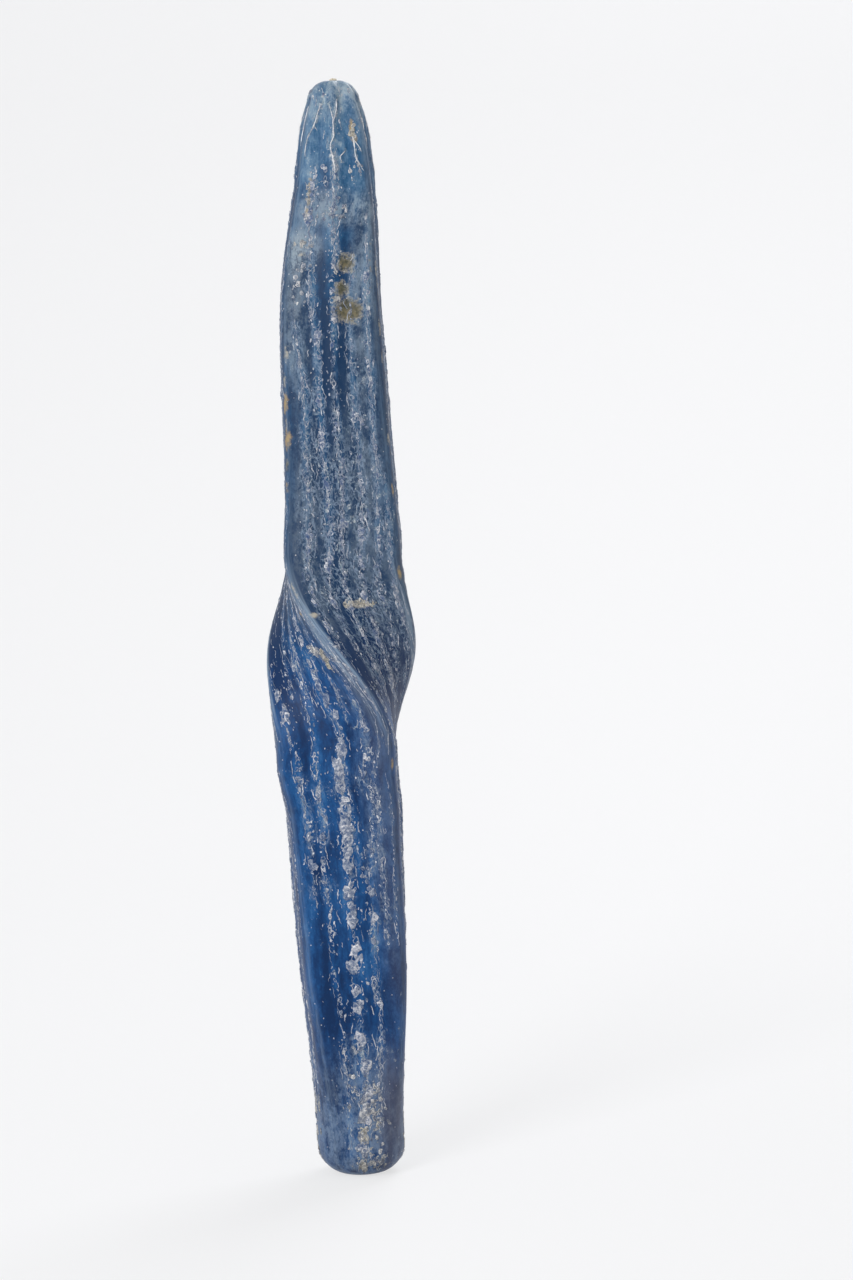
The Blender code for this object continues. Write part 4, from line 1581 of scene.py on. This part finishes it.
def frostThreadMakers(draw):
    look = frostThreads
    threads = []
    chains = [faceChains(face) for face in range(4)]

    def addThread(face, z, offset, length, shade, gather=0.0):
        room = length / 2 + look["endRoom"]
        z = min(max(z, room), candleTop - room)
        centres = [spot[0] for spot in rowOfChains(chains[face], z)]
        if gather and centres:
            nearest = min(centres, key=lambda centre: abs(centre - offset))
            offset += gather * (nearest - offset)
        threads.append((z, threadMaker(draw, face, z, offset, length, shade)))

    for face, height, offset, halfHeight, halfWidth, count, shade in look["fields"]:
        for number in range(count):
            angle = draw.uniform(0, 2 * math.pi)
            reach = math.sqrt(draw.random())
            z = (height + halfHeight * reach * math.sin(angle)) * mm
            across = (offset + halfWidth * reach * math.cos(angle)) * mm
            length = draw.uniform(*look["length"])
            addThread(farSide(face, number), z, across, length, shade, look["gather"])
    for face in range(4):
        for chain in chains[face]:
            z = chain["low"]
            while z < chain["high"]:
                z += draw.uniform(*look["besideStep"]) * look["besideChains"]
                found = chainAt(chain, z)
                if found:
                    centre, halfWidth, strength, bead = found
                    away = halfWidth * draw.uniform(*look["besideAway"]) * draw.choice((-1, 1))
                    length = draw.uniform(*look["besideLength"]) * mm
                    addThread(face, z, centre + away, length, graded(look["besideShade"], strength))
        # pale threads along the crests, a painted sheen
        for height, fromCorner, count in look["crestSheenLines"]:
            for number in range(count):
                z = (height + draw.uniform(-look["crestReach"], look["crestReach"])) * mm
                spread = draw.uniform(-look["crestSpread"], look["crestSpread"])
                across = widthAt(z) - (fromCorner + spread) * mm
                length = draw.uniform(*look["crestLength"]) * mm
                addThread(face, z, across, length, look["crestSheenShade"])
    return threads


def makeThreads():
    draw = random.Random(frostThreads["seed"])
    threadMesh = threadTemplate("thread", frostThreads["stations"])
    pinchMesh = threadTemplate("pinch", frostThreads["pinchStations"])
    threads = frostThreadMakers(draw)
    pinchMakers = [pinchMaker(draw, *pinch) for pinch in pinchCurves()]
    lower = [maker for z, maker in threads if z < crust["parting"]]
    upper = [maker for z, maker in threads if z >= crust["parting"]]
    linkCrust("lowerThreads", [layOut("threads", threadMesh, lower)])
    linkCrust("upperThreads", [layOut("threads", threadMesh, upper),
                               layOut("pinches", pinchMesh, pinchMakers)])
    for mesh in (threadMesh, pinchMesh):
        bpy.data.meshes.remove(mesh)


print("stage: threads of bloom")
makeThreads()


# The wick

braid = {
    "strands": 3,
    "pitch": 8.0 * mm,           # length of one whole crossing
    "swing": 0.50 * mm,          # how far a strand goes to each side
    "depth": 0.30 * mm,          # how far it goes over and under
    "strandRadius": 0.50 * mm,
    "plies": 4,
    "plyDepth": 0.06 * mm,
    "ringsPerPitch": 14,
    "sides": 14,
    "plyTurn": 1.3,              # how far the plies turn with the crossing
    "endStep": 0.10 * mm,        # the strands are cut at slightly different heights
}


def makeWick():
    bm = bmesh.new()
    rings = math.ceil((wickHigh - wickLow) / braid["pitch"] * braid["ringsPerPitch"])

    for strand in range(braid["strands"]):
        length = wickHigh - wickLow - braid["endStep"] * strand

        def strandPoint(ring, side):
            # the first and the last ring close the ends to a point
            share = min(max(ring - 1, 0), rings) / rings
            z = wickLow + length * share
            phase = 2 * math.pi * ((z - wickLow) / braid["pitch"] + strand / braid["strands"])
            angle = 2 * math.pi * side / braid["sides"]
            plies = math.cos(braid["plies"] * (angle - phase * braid["plyTurn"]))
            radius = braid["strandRadius"] + braid["plyDepth"] * plies
            if ring in (0, rings + 2):
                radius = 0.0
            across = braid["swing"] * math.sin(phase) + radius * math.cos(angle)
            over = braid["depth"] * math.sin(2 * phase) + radius * math.sin(angle)
            return Vector((swayAt(z) + across, over, z)), {}

        rolledGrid(bm, braid["sides"], rings + 3, strandPoint)
    return linkPiece("braidedWick", bm, waxedCotton)


print("stage: wick")
braidedWick = makeWick()
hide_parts("wick")

# the core of undyed wax stays as it is, inside the skin, with its own finish
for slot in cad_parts["wax_core"].material_slots:
    slot.material = creamWax


# Floor, light and camera

studio = {
    "floorHalf": 1.6,
    "wallPlace": 0.75,
    "bendRadius": 0.35,
    "bendSteps": 16,
    "wallHeight": 1.4,
    "paper": (218, 219, 223),
    "paperRoughness": 0.9,
    "paperGloss": 0.1,
    "whiteShare": 0.68,
    # size, place, power
    "lamps": {
        "keySoftbox": (0.40, (-0.48, -0.82, 0.56), 7.0),
        "fillSoftbox": (0.9, (0.95, -0.85, 0.25), 1.1),
        "backSoftbox": (0.5, (0.30, 0.56, 0.80), 5.0),
    },
    "skyStrength": 0.42,
}


def whiteSeen(bench, shaded, share):
    # mixes plain white in wherever the camera, a reflection or clear stuff sees the surface
    rays = bench.add("ShaderNodeLightPath")
    seen = bench.math("MAXIMUM", rays.outputs["Is Camera Ray"], rays.outputs["Is Glossy Ray"])
    seen = bench.math("MAXIMUM", seen, rays.outputs["Is Transmission Ray"])
    white = bench.add("ShaderNodeEmission")
    white.inputs["Color"].default_value = (1, 1, 1, 1)
    white.inputs["Strength"].default_value = 1.0
    mixed = bench.add("ShaderNodeMixShader")
    bench.plug(mixed.inputs[0], bench.times(seen, share))
    bench.plug(mixed.inputs[1], shaded)
    bench.plug(mixed.inputs[2], white.outputs[0])
    return mixed.outputs[0]


def makeSweep():
    # the floor bends up into the wall behind
    material, bench, shader = newMaterial("paperSweep")
    shader.inputs["Base Color"].default_value = (*fromScreen(*studio["paper"]), 1.0)
    shader.inputs["Roughness"].default_value = studio["paperRoughness"]
    shader.inputs["Specular IOR Level"].default_value = studio["paperGloss"]
    output = material.node_tree.nodes["Material Output"]
    bench.plug(output.inputs["Surface"], whiteSeen(bench, shader.outputs[0], studio["whiteShare"]))
    radius = studio["bendRadius"]
    wall = studio["wallPlace"]
    wide = studio["floorHalf"]
    steps = studio["bendSteps"]
    angles = [math.pi / 2 * i / steps for i in range(steps + 1)]
    bend = [(wall - radius + radius * math.sin(a), radius - radius * math.cos(a)) for a in angles]
    profile = [(-wide, 0.0), *bend, (wall, studio["wallHeight"])]
    bm = bmesh.new()
    verts = [bm.verts.new((-wide, y, z)) for y, z in profile]
    edges = [bm.edges.new(pair) for pair in zip(verts, verts[1:])]
    swept = bmesh.ops.extrude_edge_only(bm, edges=edges)
    moved = [item for item in swept["geom"] if isinstance(item, bmesh.types.BMVert)]
    bmesh.ops.translate(bm, verts=moved, vec=(2 * wide, 0, 0))
    mesh = meshFrom(bm, "sweep")
    mesh.shade_smooth()
    mesh.materials.append(material)
    sweep = bpy.data.objects.new("sweep", mesh)
    bpy.context.scene.collection.objects.link(sweep)


def makeLamp(name, size, place, power):
    lamp = bpy.data.lights.new(name, "AREA")
    lamp.shape = "SQUARE"
    lamp.size = size
    lamp.energy = power
    holder = bpy.data.objects.new(name, lamp)
    holder.location = place
    aim = Vector((0, 0, candleTop / 2)) - Vector(place)
    holder.rotation_euler = aim.to_track_quat("-Z", "Y").to_euler()
    bpy.context.scene.collection.objects.link(holder)


def makeSky():
    sky = bpy.data.worlds.new("studioSky")
    bpy.context.scene.world = sky
    sky.use_nodes = True
    background = sky.node_tree.nodes["Background"]
    background.inputs["Color"].default_value = (1.0, 1.0, 1.0, 1.0)
    background.inputs["Strength"].default_value = studio["skyStrength"]
    bench = NodeBench(sky.node_tree)
    output = sky.node_tree.nodes["World Output"]
    bench.plug(output.inputs["Surface"], whiteSeen(bench, background.outputs[0], 1.0))


view = {
    "imageWidth": 853,
    "imageHeight": 1280,
    "metresPerPixel": 0.2558 * mm,   # at the candle
    "distance": 0.80,
    "footRow": 1177,                 # image row of the candle's lowest point
    "levelRow": 399,                 # image row at the camera's own height
    "axisColumn": 348.2,             # image column of the candle half way up
    "lean": 1.47,                    # degrees that the candle leans in the frame
    "sensor": 24.0,
}


def makeCamera():
    pixel = view["metresPerPixel"]
    eyeHeight = (view["footRow"] - view["levelRow"]) * pixel
    drop = eyeHeight - (view["footRow"] - view["imageHeight"] / 2) * pixel
    reach = math.hypot(drop, view["distance"])
    lens = bpy.data.cameras.new("photoView")
    lens.sensor_fit = "VERTICAL"
    lens.sensor_height = view["sensor"]
    lens.lens = view["sensor"] * reach / (view["imageHeight"] * pixel)
    camera = bpy.data.objects.new("photoView", lens)
    across = (view["imageWidth"] / 2 - view["axisColumn"]) * pixel
    camera.location = (across, -view["distance"], eyeHeight)
    camera.rotation_mode = "QUATERNION"
    aim = Vector((0, view["distance"], -drop)).to_track_quat("-Z", "Y")
    camera.rotation_quaternion = aim @ Quaternion((0, 0, 1), math.radians(-view["lean"]))
    bpy.context.scene.collection.objects.link(camera)
    bpy.context.scene.camera = camera


print("stage: studio")
makeSweep()
for lampName, lampSettings in studio["lamps"].items():
    makeLamp(lampName, *lampSettings)
makeSky()
makeCamera()
bpy.context.scene.view_settings.view_transform = "Standard"
